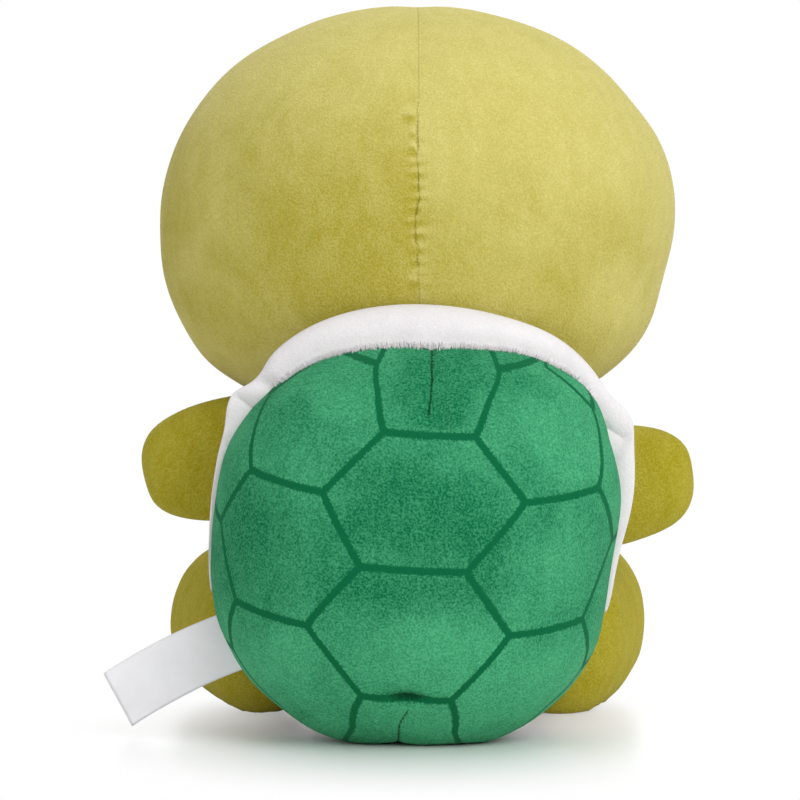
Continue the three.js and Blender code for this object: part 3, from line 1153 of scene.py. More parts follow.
def add_fill(name: str, grid: Grid, place: Place, share: float, seed: int) -> Piece:
    """Puts lumpy fibre inside a cover.

    Args:
        name: The piece's name.
        grid: Points of a unit ball, and faces.
        place: Gives the cover's surface for points of the ball.
        share: How much of the cover's size the fibre takes up.
        seed: Picks its lumps.

    Returns:
        The fibre.
    """
    unit, faces = grid
    points = place(unit)
    middle = (points.max(axis=0) + points.min(axis=0)) / 2.0
    finer, quads = refine(middle + (points - middle) * share, faces, 1)
    heights = FILL_LUMPS.heights(finer, seed) - FILL_INSET
    return add_piece(name, finer + vertex_normals(finer, quads) * heights[:, None], quads, FIBRE)


def stand_for(piece: Piece, node: str) -> Piece:
    """Shows a stuffed piece in the place of a soft solid."""
    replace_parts(piece, node)
    return piece


def joint_place(name: str) -> Array:
    """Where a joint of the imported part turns."""
    joint = next(j for j in frame["joints"] if j["name"] == name)
    return np.array(joint["pos_m"]) / MM


# Sub-assemblies


@dataclass(frozen=True)
class Head:
    """The head: two back panels and a face panel over fibre, with an embroidered face."""

    form: StuffedForm = StuffedForm(
        middle=(0.0, 24.0, 219.0),
        width=226.0,
        depth=180.0,
        rise=90.0,
        drop=92.0,
        fullness=Fullness(level=2.0, above=2.0, below=2.45),
    )
    swelling: Swelling = Swelling(pressure=4.0, cap=6.0)
    lumpiness: Lumpiness = Lumpiness(height=0.8, size=46.0, small_height=0.3, small_size=19.0)
    side: float = 90.0  # how far out the dips in its outline are whole
    right_dips: Rows = ((270.0, 16.0, 1.9), (188.0, 19.0, 2.9))  # level, height and depth
    left_dips: Rows = ((246.0, 24.0, 1.5), (151.0, 13.0, -2.4))
    face_seam: float = 30.0  # how far forward it lies
    # The seams' lines carry painted shade.
    face_crease: Seam = Seam(depth=0.4, width=1.4, pull=0.9, reach=9.0, line=0.35)
    back_fade: float = 6.0  # over which the back seam runs out
    back_seam: Seam = Seam(depth=0.05, width=1.0, pull=0.6, reach=7.0, line=0.1)
    hand_depth: float = 0.15  # deeper by this between hand stitches
    hand_line: float = 0.3  # and its painted shade darker
    hand_gaps: Waver = Waver(0.9, 4.0, 9)
    wanders: tuple[Waver, ...] = (Waver(0.7, 17.0, 7), Waver(0.9, 4.2, 8))  # of the hand-sewn line
    wander_aside: float = -0.4
    wander_width: float = 5.0
    closed_low: float = 184.0  # the hand-sewn stretch of the back seam
    closed_high: float = 263.0
    closed_fades: Span = (9.0, 7.0)  # over which it starts, below and above
    stitch: float = 5.0
    stitch_waver: Waver = Waver(0.35, 9.0, 5)
    pucker: float = 0.8
    pucker_width: float = 3.2
    pucker_edge: float = 1.5  # how steeply it ends, where 2 is a bell
    pucker_share: float = 0.55  # of its height, on the whole
    pucker_waver: Waver = Waver(0.45, 13.0, 6)
    pucker_swell: float = 0.45  # share of it that stands out
    lit_apart: float = 1.2  # between the levels that tell its lit side
    pucker_light: Span = (0.9, 2.2)  # painted highlight on its top, and on its lit side
    gather_seed: int = 13
    gather_inset: float = 4.0  # from the stretch's ends
    gather_step: float = 0.8  # of a stitch
    gather_height: float = 0.8  # of its width
    gather_places: Span = (1.4, 2.4)
    gather_widths: Span = (1.5, 2.2)
    gather_rises: Span = (0.1, 0.5)
    bunches: tuple = (  # X, level, width and height of the larger ones
        (-3.6, 257.0, 2.6, 1.2),
        (-2.0, 249.6, 1.8, 1.0),
        (-2.3, 243.4, 1.9, 1.0),
        (-1.8, 189.0, 2.4, 0.8),
    )
    nap_and_painted_light: float = 0.35  # how its pile lies on the whole
    parting: float = 3.0  # over which the pile's way changes at the back seam
    pale_level: float = 262.0  # above this the left side is paler, a painted highlight over the top of the head
    pale_drop: float = 40.0  # how much lower that is on the right side, partly the nap of that back panel and partly painted light
    pale_waver: float = 14.0
    pale_lump: float = 40.0
    pale_fade: float = 76.0
    # Painted highlights: at the left edge, over the right side and low on the left.
    brushing_and_light: tuple[Patch, ...] = (
        Patch(-94.0, 222.0, 22.0, 40.0, 0.7),
        Patch(92.0, 222.0, 26.0, EVERYWHERE, 0.8),
        Patch(-68.0, 160.0, 40.0, 30.0, 0.7),
    )
    low_right: Row = (180.0, 20.0, 0.5)  # how much paler a band on the right side is drawn
    eye_size: Span = (14.0, 19.0)
    eye_place: Span = (46.0, 203.0)
    smile_radius: float = 17.0
    smile_level: float = 206.0  # of the middle of the smile's circle
    smile_width: float = 26.0
    smile_line: float = 3.0
    stitch_pitch: float = 0.75  # of the embroidery
    stitch_columns: int = 14
    stitch_slant: float = 0.12
    stitch_rise: Row = (0.25, 0.75, 0.22)  # at the edge, how much more inside it, and of each ridge
    thread_depth: float = 0.9

    def place(self, unit: Array) -> Array:
        """Shapes the head, from rays that start in the plane of the face seam.

        Args:
            unit: The way of each ray.

        Returns:
            A point of the surface for each.
        """
        origin = np.array((0.0, self.face_seam, self.form.middle[2]))
        points = self.form.reach(origin, unit)
        side, level = points[:, 0] / self.side, points[:, 2]
        right, left = bells(level, *self.right_dips), bells(level, *self.left_dips)
        points[:, 0] -= right * smooth(side) - left * smooth(-side)
        return points

    def behind(self, points: Array) -> Array:
        """1 on the back panels, and 0 from the face seam on."""
        return smooth((self.face_seam - points[:, 1]) / self.back_fade)

    def stroke_and_light(self, points: Array) -> Array:
        """Brushes the pile, with painted light: paler over the top and the right side, at the left edge and
        low on the left.

        Args:
            points: Of the cover.

        Returns:
            How the pile lies at each, with painted light: above 0 where it is paler, and below 0 where it is
            deeper.
        """
        x, level = points[:, 0], points[:, 2]
        right = 0.5 + (smooth(x / self.parting + 0.5) - 0.5) * self.behind(points)
        turn = self.pale_level - self.pale_drop * right
        turn = turn + self.pale_waver * lumps(points, self.pale_lump, 3)
        pale = 2.0 * smooth((level - turn) / self.pale_fade + 0.5) - 1.0
        patches = sum(patch.at(x, level) for patch in self.brushing_and_light)
        return self.nap_and_painted_light + pale + patches + right * bells(level, self.low_right)

    def by_hand(self, level: Array) -> Array:
        """1 along the hand-sewn stretch of the back seam, and 0 past its ends."""
        low, high = self.closed_fades
        return smooth((level - self.closed_low) / low) * smooth((self.closed_high - level) / high)

    def gathers(self) -> list[tuple[float, float, float, float]]:
        """Scatters little bunches of fabric beside the hand-sewn seam.

        Returns:
            X, level, width and height of each.
        """
        bunches = list(self.bunches)
        random = np.random.default_rng(self.gather_seed)
        low, high = self.closed_low + self.gather_inset, self.closed_high - self.gather_inset
        for level in np.arange(low, high, self.stitch * self.gather_step):
            x = random.choice((-1.0, 1.0)) * random.uniform(*self.gather_places)
            width = random.uniform(*self.gather_widths)
            bunches.append((x, level, width, random.uniform(*self.gather_rises)))
        return bunches

    def puckers(self, x: Array, level: Array) -> Array:
        """Puckers the fabric beside the hand-sewn stretch.

        Args:
            x: How far right each point lies.
            level: How high it lies.

        Returns:
            How far each stands out.
        """
        beat = level / self.stitch + self.stitch_waver.along(level)
        pinch = self.pucker_swell - (0.5 + 0.5 * np.cos(2.0 * math.pi * beat))
        other_side = 40.0 * np.sign(x)  # gives each side of the seam puckers of its own
        uneven = self.pucker_share + self.pucker_waver.along(level + other_side)
        beside = np.exp(-((np.abs(x) / self.pucker_width) ** self.pucker_edge))
        heights = self.by_hand(level) * uneven * self.pucker * pinch * beside
        for spot_x, spot_level, width, rise in self.gathers():
            spot = Patch(spot_x, spot_level, width, width * self.gather_height, rise)
            heights += spot.at(x, level)
        return heights

    def sew_back(self, cover: Cover) -> None:
        """Draws in the back seam, which is closed by hand with puckers over its middle, with painted light on
        the puckers and painted shade along the seam.

        Args:
            cover: The head's cover.
        """
        x, level = cover.points[:, 0], cover.points[:, 2]
        behind = self.behind(cover.points)
        by_hand = self.by_hand(level) * behind
        heights = self.puckers(x, level)
        lit = self.puckers(x, level - self.lit_apart) - self.puckers(x, level + self.lit_apart)
        cover.lift(behind * heights)
        # Painted light on the puckers: paler on their tops and lit sides, darker between them.
        top_light, side_light = self.pucker_light
        cover.brush(behind * (top_light * heights + side_light * lit))
        gaps = by_hand * smooth(0.5 + self.hand_gaps.along(level))
        seam = self.back_seam.over(behind)
        depth, line = seam.depth + gaps * self.hand_depth, seam.line + gaps * self.hand_line
        cover.crease(np.where(behind > 0, x, FAR), replace(seam, depth=depth, line=line))
        wander = by_hand * (sum(waver.along(level) for waver in self.wanders) + self.wander_aside)
        cover.points[:, 0] += wander * hill(x, self.wander_width) * behind

    def held(self, unit: Array) -> Array:
        """The face seam and the back seam."""
        on_back = (np.abs(unit[:, 0]) < ON_PLANE) & (unit[:, 1] < 0)
        return (np.abs(unit[:, 1]) < ON_PLANE) | on_back

    def build(self) -> list[Piece]:
        """Builds the head's pieces.

        Returns:
            The panels, the fill and the embroidery.
        """
        cover = sew(ball_grid(cells=28, crowd=(0.65, 0.4, 0.35)), self.place, self.held, self.swelling)
        cover.lift(self.lumpiness.heights(cover.points, seed=1))
        cover.brush(self.stroke_and_light(cover.points))
        self.sew_back(cover)
        cover.crease(cover.points[:, 1] - self.face_seam, self.face_crease)
        tests: dict[str, Test] = {
            "head_back_left": lambda u: (u[:, 1] < 0) & (u[:, 0] < 0),
            "head_back_right": lambda u: (u[:, 1] < 0) & (u[:, 0] > 0),
            "head_face": lambda u: u[:, 1] > 0,
        }
        pieces = [
            stand_for(add_panel(f"{node}_plush", cover, inside, OLIVE), node)
            for node, inside in tests.items()
        ]
        face = pieces[-1]
        fill = add_fill("head_fibre", FILL_GRID, self.place, share=0.93, seed=11)
        pieces.append(stand_for(fill, "head_fill"))
        pieces += self.embroider(face)
        for piece in pieces:
            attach(piece, "head")
        return pieces

    def oval(self, side: float, run: Array, across: Array) -> Array:
        """X and level of an eye's stitching, by shares of its height and width from -1 to 1."""
        chord = self.eye_size[0] / 2.0 * np.sqrt(np.maximum(0.0, 1.0 - run**2))
        x = side * self.eye_place[0] + chord * across
        return np.stack([x, self.eye_place[1] + self.eye_size[1] / 2.0 * run], axis=-1)

    def smile_turn(self) -> float:
        """Half the angle of the smile's arc."""
        return math.asin(self.smile_width / 2.0 / self.smile_radius)

    def smile(self, run: Array, across: Array) -> Array:
        """X and level of the mouth's stitching, by shares of its length and width from -1 to 1."""
        taper = self.smile_line / 2.0 * np.sqrt(np.maximum(0.0, 1.0 - np.abs(run) ** 6))
        radius = self.smile_radius + across * taper
        turn = self.smile_turn() * run
        return np.stack([radius * np.sin(turn), self.smile_level - radius * np.cos(turn)], axis=-1)

    def embroider(self, face: Piece) -> list[Piece]:
        """Stitches the eyes and the smile.

        Args:
            face: The face panel that they are sewn on.

        Returns:
            The three patches.
        """
        skin = BVHTree.FromObject(face, bpy.context.evaluated_depsgraph_get())
        outlines = (
            ("left_eye", partial(self.oval, -1.0), self.eye_size[1]),
            ("right_eye", partial(self.oval, 1.0), self.eye_size[1]),
            ("mouth", self.smile, 2.0 * self.smile_turn() * self.smile_radius),
        )
        made = []
        for node, outline, length in outlines:
            piece = self.stitched(f"{node}_stitching", skin, outline, length)
            made.append(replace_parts(piece, node))
        return made

    def stitched(self, name: str, skin: BVHTree, outline: Callable[..., Array], length: float) -> Piece:
        """A patch of satin stitch, with a ridge for each stitch.

        Args:
            name: The piece's name.
            skin: The surface that it is sewn on.
            outline: Gives X and level for a share of the run and of the width, each from -1 to 1.
            length: Of the patch along its run.

        Returns:
            The closed patch.
        """
        rows, columns = 4 * int(length / self.stitch_pitch) + 1, self.stitch_columns + 1
        end = 0.999  # just short of where an outline closes
        shares = np.linspace(-end, end, rows), np.linspace(-1.0, 1.0, columns)
        run, across = np.meshgrid(*shares, indexing="ij")
        beat = run * length / 2.0 / self.stitch_pitch + self.stitch_slant * across
        edge = np.sqrt((1.0 - np.abs(across) ** 4) * (1.0 - np.abs(run) ** 8))
        low, inside, ridge = self.stitch_rise
        rise = low + inside * edge + ridge * np.abs(np.cos(math.pi * beat)) * edge
        ahead = 0.4  # metres ahead of the turtle, from where the face is felt for
        top = []
        for (x, level), height in zip(outline(run, across).reshape(-1, 2), rise.ravel()):
            hit, normal, _, _ = skin.ray_cast(Vector((x * MM, ahead, level * MM)), Vector((0.0, -1.0, 0.0)))
            top.append(np.array(hit) / MM + np.array(normal) * height)
        quads = np.roll(grid_quads(rows, columns), -1, axis=1)  # so that its other diagonal parts each
        return add_cloth(name, (np.array(top), quads), self.thread_depth, THREAD, {})


@dataclass(frozen=True)
class Shell:
    """The shell cushion: a printed dome, its lining and its fibre. Its own Y is up and its Z out."""

    form: StuffedForm = StuffedForm(
        middle=(0.0, 0.0, 0.0),
        width=170.0,
        depth=168.0,
        rise=62.0,
        drop=7.0,
        fullness=Fullness(level=2.4, above=2.2, below=2.0),
    )
    middle: Xyz = (0.0, -55.0, 82.5)
    swelling: Swelling = Swelling(pressure=4.0, cap=5.0)
    lumpiness: Lumpiness = Lumpiness(height=0.7, size=38.0, small_height=0.25, small_size=14.0)
    edge: Seam = Seam(depth=0.8, width=1.6, pull=0.0, reach=1.0, line=0.0)
    sag: float = 9.0  # how far the crown hangs
    slump: float = 3.5  # how far its foot spreads on the floor
    slump_level: float = 18.0  # under this level
    slump_behind: float = -58.0  # and behind this
    roll: float = 3.0  # degrees that the cushion is sewn on turned
    leans: Rows = ((112.0, -50.0, -3.3), (55.0, -20.0, 1.1), (118.0, 36.0, 5.0))
    broad_top: Row = (118.0, 36.0, 0.032)
    waist: Row = (70.0, 24.0, -0.024)  # as a share of its width
    cell_turn: float = 0.514  # angle between the print's columns
    cell_rise: float = 30.6
    print_level: float = 18.4  # of the middle cell, over the dome's middle
    print_lift: float = 2.07  # how much the print's rows climb to the sides
    print_aside: float = 0.8  # how far the print lies off the dome's middle
    print_slant: float = 60.0  # rise over which it drifts as far again
    print_shift: Row = (36.0, 30.0, 3.0)  # how far back it drifts above a level
    print_top: float = 0.88  # share of the dome's height where its columns stop closing in
    print_foot: float = 0.84
    print_waist: Patch = Patch(0.0, 63.0, 42.0, 9.0, 0.1)  # where the columns of the top cell close in most
    print_drop: Row = (63.0, 12.0, 0.06)  # above it the rows lie lower, in rows
    # Patches where the pile is drawn darker or paler: partly its nap, and partly painted light and shade,
    # darker under the roll at the top and paler towards the foot.
    brushing_and_light: tuple[Patch, ...] = (
        Patch(5.0, 146.0, 17.0, 12.0, -1.9),
        Patch(-68.0, 86.0, 16.0, 20.0, -1.1),
        Patch(-8.0, 66.0, 34.0, 9.0, -1.2),
        Patch(4.0, 97.0, 30.0, 17.0, -2.4),
        Patch(-36.0, 118.0, 16.0, 14.0, 0.2),
        Patch(60.0, 122.0, 18.0, 18.0, 0.9),
        Patch(52.0, 72.0, 18.0, 14.0, 0.7),
        Patch(50.0, 28.0, 26.0, 13.0, 2.0),
        Patch(-54.0, 36.0, 20.0, 16.0, 1.9),
        Patch(4.0, 42.0, 26.0, 14.0, 1.7),
        Patch(0.0, 14.0, 30.0, 9.0, 1.2),
    )
    lumps_end: float = 3.0  # how near to the seam they are drawn flat
    dart_edge: Row = (4.0, 6.0, 1.0)  # how the darts come to show, from its seam out
    dart_foot: float = 57.0  # where the top dart ends
    dart_run: float = 3.0  # over which it starts to show
    dart_offset: float = 1.05
    dart_lean: Row = (52.0, 26.0, 2.9)
    dart_waver: Waver = Waver(-0.35, 7.0, 21)
    # The darts' lines carry painted shade.
    dart_crease: Seam = Seam(depth=1.0, width=1.0, pull=0.7, reach=5.0, line=1.0)
    dart_dent: Patch = Patch(2.0, 57.0, 8.0, 4.0, -2.0)
    # painted shade in the dent at the dart's end
    dart_shade: Patch = Patch(1.0, 57.0, 8.0, 3.0, -2.0)
    dart_cheeks: Patch = Patch(8.0, 62.0, 4.5, 6.0, 0.8)  # swells to either side of the dart's end
    dart_aside: float = 1.3
    pinch_level: float = -54.6  # of the pinch at the foot
    pinch_place: Row = (0.5, 8.0, 1.0)
    pinch: Seam = Seam(depth=2.2, width=2.0, pull=0.9, reach=6.0, line=0.8)
    pinch_sunk: float = 2.4  # height of the painted shade in its fold
    pinch_least: float = 0.05  # share of the pinch under which no shade is painted
    pinch_shade: Span = (3.2, -3.0)  # height and strength of the painted shade beside it
    pinch_folds: Rows = ((-46.0, 4.5, 0.5), (-61.0, 3.5, 0.5))
    foot_top: float = -60.0  # where the foot's dart starts
    foot_run: float = 2.5
    foot_offset: float = 2.2
    foot_lean: Row = (-70.0, 10.0, -3.4)
    foot_crease: Seam = Seam(depth=0.8, width=0.9, pull=0.6, reach=5.0, line=1.0)

    def lean(self, level: Array) -> tuple[Array, Array]:
        """How far the cushion leans to one side at each level, and how much of its width is left there."""
        return steps(level, *self.leans), 1.0 + bells(level, self.waist) + steps(level, self.broad_top)

    def hang(self, out: Array) -> Array:
        """How far the cushion hangs, by how far out a point lies."""
        return self.sag * (np.maximum(out, 0.0) / self.form.rise) ** 2

    def world(self, own: Array) -> Array:
        """Sets the cushion's own points on the turtle.

        Args:
            own: Points in the cushion's own frame.

        Returns:
            The points in the frame of the turtle.
        """
        x, z = spin(own[:, 0], own[:, 1] - self.hang(own[:, 2]), -self.roll)
        aside, width = self.lean(z + self.middle[2])
        return np.stack([x * width + aside, -own[:, 2], z], axis=1) + np.array(self.middle)

    def own(self, points: Array) -> Array:
        """Takes points to the cushion's own frame.

        Args:
            points: In the frame of the turtle.

        Returns:
            The points in the cushion's own frame.
        """
        away = points - np.array(self.middle)
        aside, width = self.lean(points[:, 2])
        x, up = spin((away[:, 0] - aside) / width, away[:, 2], self.roll)
        return np.stack([x, up + self.hang(-away[:, 1]), -away[:, 1]], axis=1)

    def place(self, unit: Array) -> Array:
        """Shapes the cushion, under the head and pressed flat on the floor.

        Args:
            unit: The way of each ray from its middle.

        Returns:
            A point of the surface for each.
        """
        points = self.world(self.form.reach(np.zeros(3), unit))
        low = smooth(1.0 - points[:, 2] / self.slump_level)
        points[:, 2] -= self.slump * low * smooth((self.slump_behind - points[:, 1]) / self.slump_level)
        return Head().form.clear(settle(points), SEWN_GAP)

    def clear(self, points: Array, gap: float) -> Array:
        """Points moved out of the cushion, on rays from its middle."""
        return self.world(self.form.clear(self.own(points), gap))

    def clear_front(self, points: Array, gap: float) -> Array:
        """Moves points that lie behind the lining straight ahead of it.

        Args:
            points: One row each.
            gap: How far they keep from it.

        Returns:
            The points.
        """
        level = np.minimum(self.form.level(self.own(points)), 1.0)
        lining = self.middle[1] + self.form.drop * np.sqrt(1.0 - level**2) + gap
        moved = points.copy()
        moved[:, 1] = np.where(level < 1.0, np.maximum(points[:, 1], lining), points[:, 1])
        return moved

    def seam(self, degrees: Array, outset: Array) -> Array:
        """Finds points of the cushion's seam.

        Args:
            degrees: Their angles from the top, towards +X.
            outset: How far they are moved out.

        Returns:
            The points, in the frame of the turtle.
        """
        across, up = np.sin(np.radians(degrees)), np.cos(np.radians(degrees))
        power = self.form.fullness.level
        side = np.abs(across) / (self.form.width / 2.0 + outset)
        rise = np.abs(up) / (self.form.depth / 2.0 + outset)
        reach = (side**power + rise**power) ** (-1.0 / power)
        return self.world(np.stack([across * reach, up * reach, np.zeros_like(reach)], axis=1))

    def print_marks(self, own: Array) -> Marks:
        """Lays the print on the dome: columns by their angle round it, rows by their level.

        Args:
            own: Points of the dome in the cushion's own frame.

        Returns:
            Where each lies on the print, in columns and rows.
        """
        x, up = own[:, 0], own[:, 1]
        power = self.form.fullness.level
        stop = np.where(up < 0, self.print_foot, self.print_top)
        share = np.minimum(np.abs(up) / (self.form.depth / 2.0), stop)
        half = self.form.width / 2.0 * (1.0 - share**power) ** (1.0 / power)
        half = half * (1.0 - self.print_waist.at(x, up))
        level = up - self.hang(own[:, 2])
        across = x - self.print_aside * (1.0 + level / self.print_slant) + steps(level, self.print_shift)
        column = np.arcsin(np.clip(across / half, -1.0, 1.0)) / self.cell_turn
        row = (level - self.print_level - self.print_lift * column**2) / self.cell_rise
        return {"scute_u": column, "scute_v": row + steps(up, self.print_drop)}

    def darts(self, cover: Cover, own: Array) -> None:
        """Sews the long dart at the dome's top with its dent, and the pinch and short dart at its foot, with
        painted shade along them and in the dent.

        Args:
            cover: The cushion's cover.
            own: Its points in the cushion's own frame.
        """
        across, up, away = own.T
        out = steps(away, self.dart_edge)
        shown = smooth((up - self.dart_foot) / self.dart_run) * out
        line = across + self.dart_offset + steps(up, self.dart_lean) + self.dart_waver.along(up)
        cover.crease(np.where(shown > 0, line, FAR), self.dart_crease.over(shown))
        cover.lift(out * self.dart_dent.at(across, up))
        # Painted shade in the dent.
        cover.brush(out * self.dart_shade.at(across, up))
        cover.lift(out * self.dart_cheeks.at(np.abs(across - self.dart_aside), up))
        pinch = bells(across, self.pinch_place) * out
        apart = up - self.pinch_level
        cover.draw_in(apart, self.pinch.over(pinch))
        cover.lift(pinch * bells(up, *self.pinch_folds))
        # Painted shade beside the pinch.
        height, nap_and_painted_light = self.pinch_shade
        cover.brush(nap_and_painted_light * pinch * hill(apart, height))
        below = smooth((self.foot_top - up) / self.foot_run) * out
        line = across + self.foot_offset + steps(up, self.foot_lean)
        cover.crease(np.where(below > 0, line, FAR), self.foot_crease.over(below))
        # Painted shade in the pinch's fold.
        sunk = pinch * hill(apart, self.pinch_sunk)
        cover.paint_shade(sunk > self.pinch_least, 1.0 - sunk, self.pinch.line)

    def build(self) -> list[Piece]:
        """Builds the cushion's pieces.

        Returns:
            The dome, the lining and the fibre.
        """
        grid = ball_grid(cells=28, crowd=(0.45, 0.0, 0.35))
        cover = sew(grid, self.place, lambda u: np.abs(u[:, 2]) < ON_PLANE, self.swelling)
        own = self.form.reach(np.zeros(3), cover.unit)
        away = own[:, 2]
        cover.lift(np.where(away > self.lumps_end, self.lumpiness.heights(cover.points, seed=23), 0.0))
        cover.brush(sum(patch.at(cover.points[:, 0], cover.points[:, 2]) for patch in self.brushing_and_light))
        self.darts(cover, own)
        cover.crease(away, self.edge)
        cover.points = settle(cover.points)
        dome = add_panel("shell_dome_plush", cover, lambda u: u[:, 2] > 0, GREEN, self.print_marks(own))
        lining = add_panel("shell_lining_plush", cover, lambda u: u[:, 2] < 0, WHITE)
        fill = add_fill("shell_fibre", FILL_GRID, self.place, share=0.87, seed=27)
        pieces = {"shell_dome": dome, "shell_lining": lining, "shell_fill": fill}
        for node, piece in pieces.items():
            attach(stand_for(piece, node), "body")
        return list(pieces.values())


@dataclass(frozen=True)
class Rim:
    """White stuffed roll that runs round the shell's top and sides, and the pile at its edge."""

    top: float = 22.0
    side: float = 6.4
    lean: float = 10.5  # how far its top leans back
    side_lean: float = 5.0  # and its sides
    flat: float = 0.45  # how far it stands back at its sides, as a share of its width
    fill: float = 0.8  # how much fuller it is ahead there
    square: float = 0.22  # how squarely its lower edge meets the dome, where 1 is round
    reach: float = 108.0  # degrees that it runs down each side, from the top
    slim: float = 0.75  # how fast it slims from its top, where 1 is as its lean goes
    blunt: float = 0.4  # how bluntly it ends, where 1 is round
    lopsided: Row = (45.0, 20.0, 0.5)  # thicker down its right side, thinner down its left
    lopsided_turn: float = 50.0  # degrees over which one passes to the other
    swells: Rows = ((50.0, 8.0, -0.2), (-38.0, 18.0, 0.1))  # angle, width and share of its thickness
    brow: float = 1.4  # how much further out its top reaches
    corner: float = -56.0  # angle of a soft corner at the left
    corner_reach: float = 4.4
    corner_widths: Span = (3.4, 6.0)  # towards the top, and towards the foot
    shoulders: Rows = ((-48.0, 4.0, -1.5), (42.0, 13.0, -3.2), (17.0, 14.0, -1.6), (57.0, 8.0, 2.8))
    thin: Row = (33.0, 21.0, 1.0)  # a flatter stretch
    thin_behind: float = 0.2  # how much less it stands back there
    thin_lean: float = 0.3  # and leans
    lean_fade: float = 30.0  # degrees over which its lean runs out at its ends
    fold_fade: float = 12.0  # and its folds
    fold_slant: float = 0.03  # how far its dips turn aside as they run round it
    fold_scale: Span = (1.4, 0.12)  # millimetres for each degree along it and round it
    lumpiness: Lumpiness = Lumpiness(height=0.4, size=22.0, small_height=0.25, small_size=8.0)
    dips: Rows = ((60.0, 2.4, -1.5), (-50.5, 2.0, -1.8), (-69.0, 3.0, -0.4), (83.0, 3.0, -0.4))
    # X and level of both ends of its creases
    creases: tuple = (((-74.5, 141.0), (-67.3, 135.8)), ((75.9, 129.2), (83.7, 124.3)))
    # Its creases carry painted shade along them.
    crease: Seam = Seam(depth=1.3, width=1.5, pull=0.5, reach=4.0)
    rounds: int = 3  # of moving it clear of what it lies on
    pile_reach: float = 47.0  # degrees down each side to which the pile shows
    pile_step: float = 0.03
    search: Span = (90.0, 200.0)  # angles round the roll between which it meets the dome
    halvings: int = 30  # steps of that search
    pile_seed: int = 41
    pile_band: Span = (1.0, 13.0)  # degrees round the roll, up from where it meets the dome
    strand: float = 3.2  # length of the pile at its edge
    strand_width: float = 0.22
    strand_lift: float = 1.0
    strand_step: float = 0.12
    strand_stray: float = 0.25
    strand_lengths: Span = (0.6, 1.25)  # over its usual length

    def section(self, degrees: Array) -> tuple[Array, Array]:
        """Sizes the roll along its run.

        Args:
            degrees: Angles from the top.

        Returns:
            How much of the top's shape is left at each, and the roll's radius there.
        """
        crown = np.maximum(0.0, np.cos(np.radians(degrees))) ** 2
        quarter = math.pi / 2.0 * np.clip(degrees / self.reach, -1.0, 1.0)
        ends = np.maximum(np.cos(quarter), 0.0) ** self.blunt
        sides = np.tanh(degrees / self.lopsided_turn) * steps(np.abs(degrees), self.lopsided)
        uneven = 1.0 + sides + bells(degrees, *self.swells)
        return crown, (self.side + (self.top - self.side) * crown**self.slim) / 2.0 * ends * uneven

    def outset(self, degrees: Array, crown: Array) -> Array:
        """How much further out the roll reaches: a soft corner at its left, and slimmer at its right."""
        widths = np.where(degrees > self.corner, *self.corner_widths)
        corner = self.corner_reach * hill(degrees - self.corner, widths)
        return self.brow * crown + corner + bells(degrees, *self.shoulders)

    def surface(self, degrees: Array, turn: Array, grow: Amount = 0.0) -> Array:
        """Shapes the roll.

        Args:
            degrees: Angles along it, from its top.
            turn: Angles round it, where 0 faces out and 90 faces back.
            grow: How much further back it stands.

        Returns:
            A point for each pair of angles.
        """
        crown, radius = self.section(degrees)
        out, back = np.cos(np.radians(turn)), np.sin(np.radians(turn))
        points = Shell().seam(degrees, out * np.where(out > 0, radius + self.outset(degrees, crown), radius))
        square = np.where(out < 0, np.sign(back) * np.abs(back) ** self.square, back)
        thin = bells(degrees, self.thin)
        behind = radius * (self.flat + (1.0 - self.flat) * crown) * (1.0 - self.thin_behind * thin) + grow
        lean = self.lean * crown * (1.0 - self.thin_lean * thin)
        fade = smooth((self.reach - np.abs(degrees)) / self.lean_fade)
        lean = lean + self.side_lean * (1.0 - crown) * fade
        ahead = radius * (self.flat + self.fill * (1.0 - crown)) + lean
        points[:, 1] -= lean + square * np.where(back > 0, behind, ahead)
        return points

    def folds(self, degrees: Array, turn: Array) -> Array:
        """Folds the roll softly.

        Args:
            degrees: Angles along it.
            turn: Angles round it.

        Returns:
            The height of its dips and lumps at each pair.
        """
        run, girth = self.fold_scale
        flat = np.stack([degrees * run, turn * girth, np.zeros_like(turn)], axis=1)
        heights = self.lumpiness.heights(flat, seed=31) + bells(degrees - self.fold_slant * turn, *self.dips)
        return heights * smooth((self.reach - np.abs(degrees)) / self.fold_fade)

    def build(self) -> list[Piece]:
        """Builds the roll and its pile.

        Returns:
            Both pieces.
        """
        unit, quads = refine_ball(turned_grid(around=16, along=60), levels=3)
        degrees = self.reach * (1.0 - 2.0 * np.arccos(np.clip(unit[:, 2], -1.0, 1.0)) / math.pi)
        turn = np.degrees(np.arctan2(unit[:, 1], unit[:, 0]))
        points = self.surface(degrees, turn, self.folds(degrees, turn))
        for _ in range(self.rounds):
            points = Torso().form.clear(points, SEWN_GAP)
            points = Shell().clear(points, -SEWN_IN)
            points = Head().form.clear(points, SEWN_GAP)
        cover = Cover(settle(points), quads, unit)
        for start, end in self.creases:
            cover.crease(self.from_line(cover.points, np.array(start), np.array(end)), self.crease)
        roll = add_piece("shell_rim_plush", cover.points, quads, WHITE, cover.marks)
        pieces = [stand_for(roll, "shell_rim"), self.pile(Shell())]
        for piece in pieces:
            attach(piece, "body")
        return pieces

    @staticmethod
    def from_line(points: Array, start: Array, end: Array) -> Array:
        """How far each point lies from a short line, seen from behind."""
        flat = points[:, [0, 2]] - start
        way = end - start
        share = np.clip(flat @ way / (way @ way), 0.0, 1.0)
        return np.linalg.norm(flat - share[:, None] * way, axis=1)

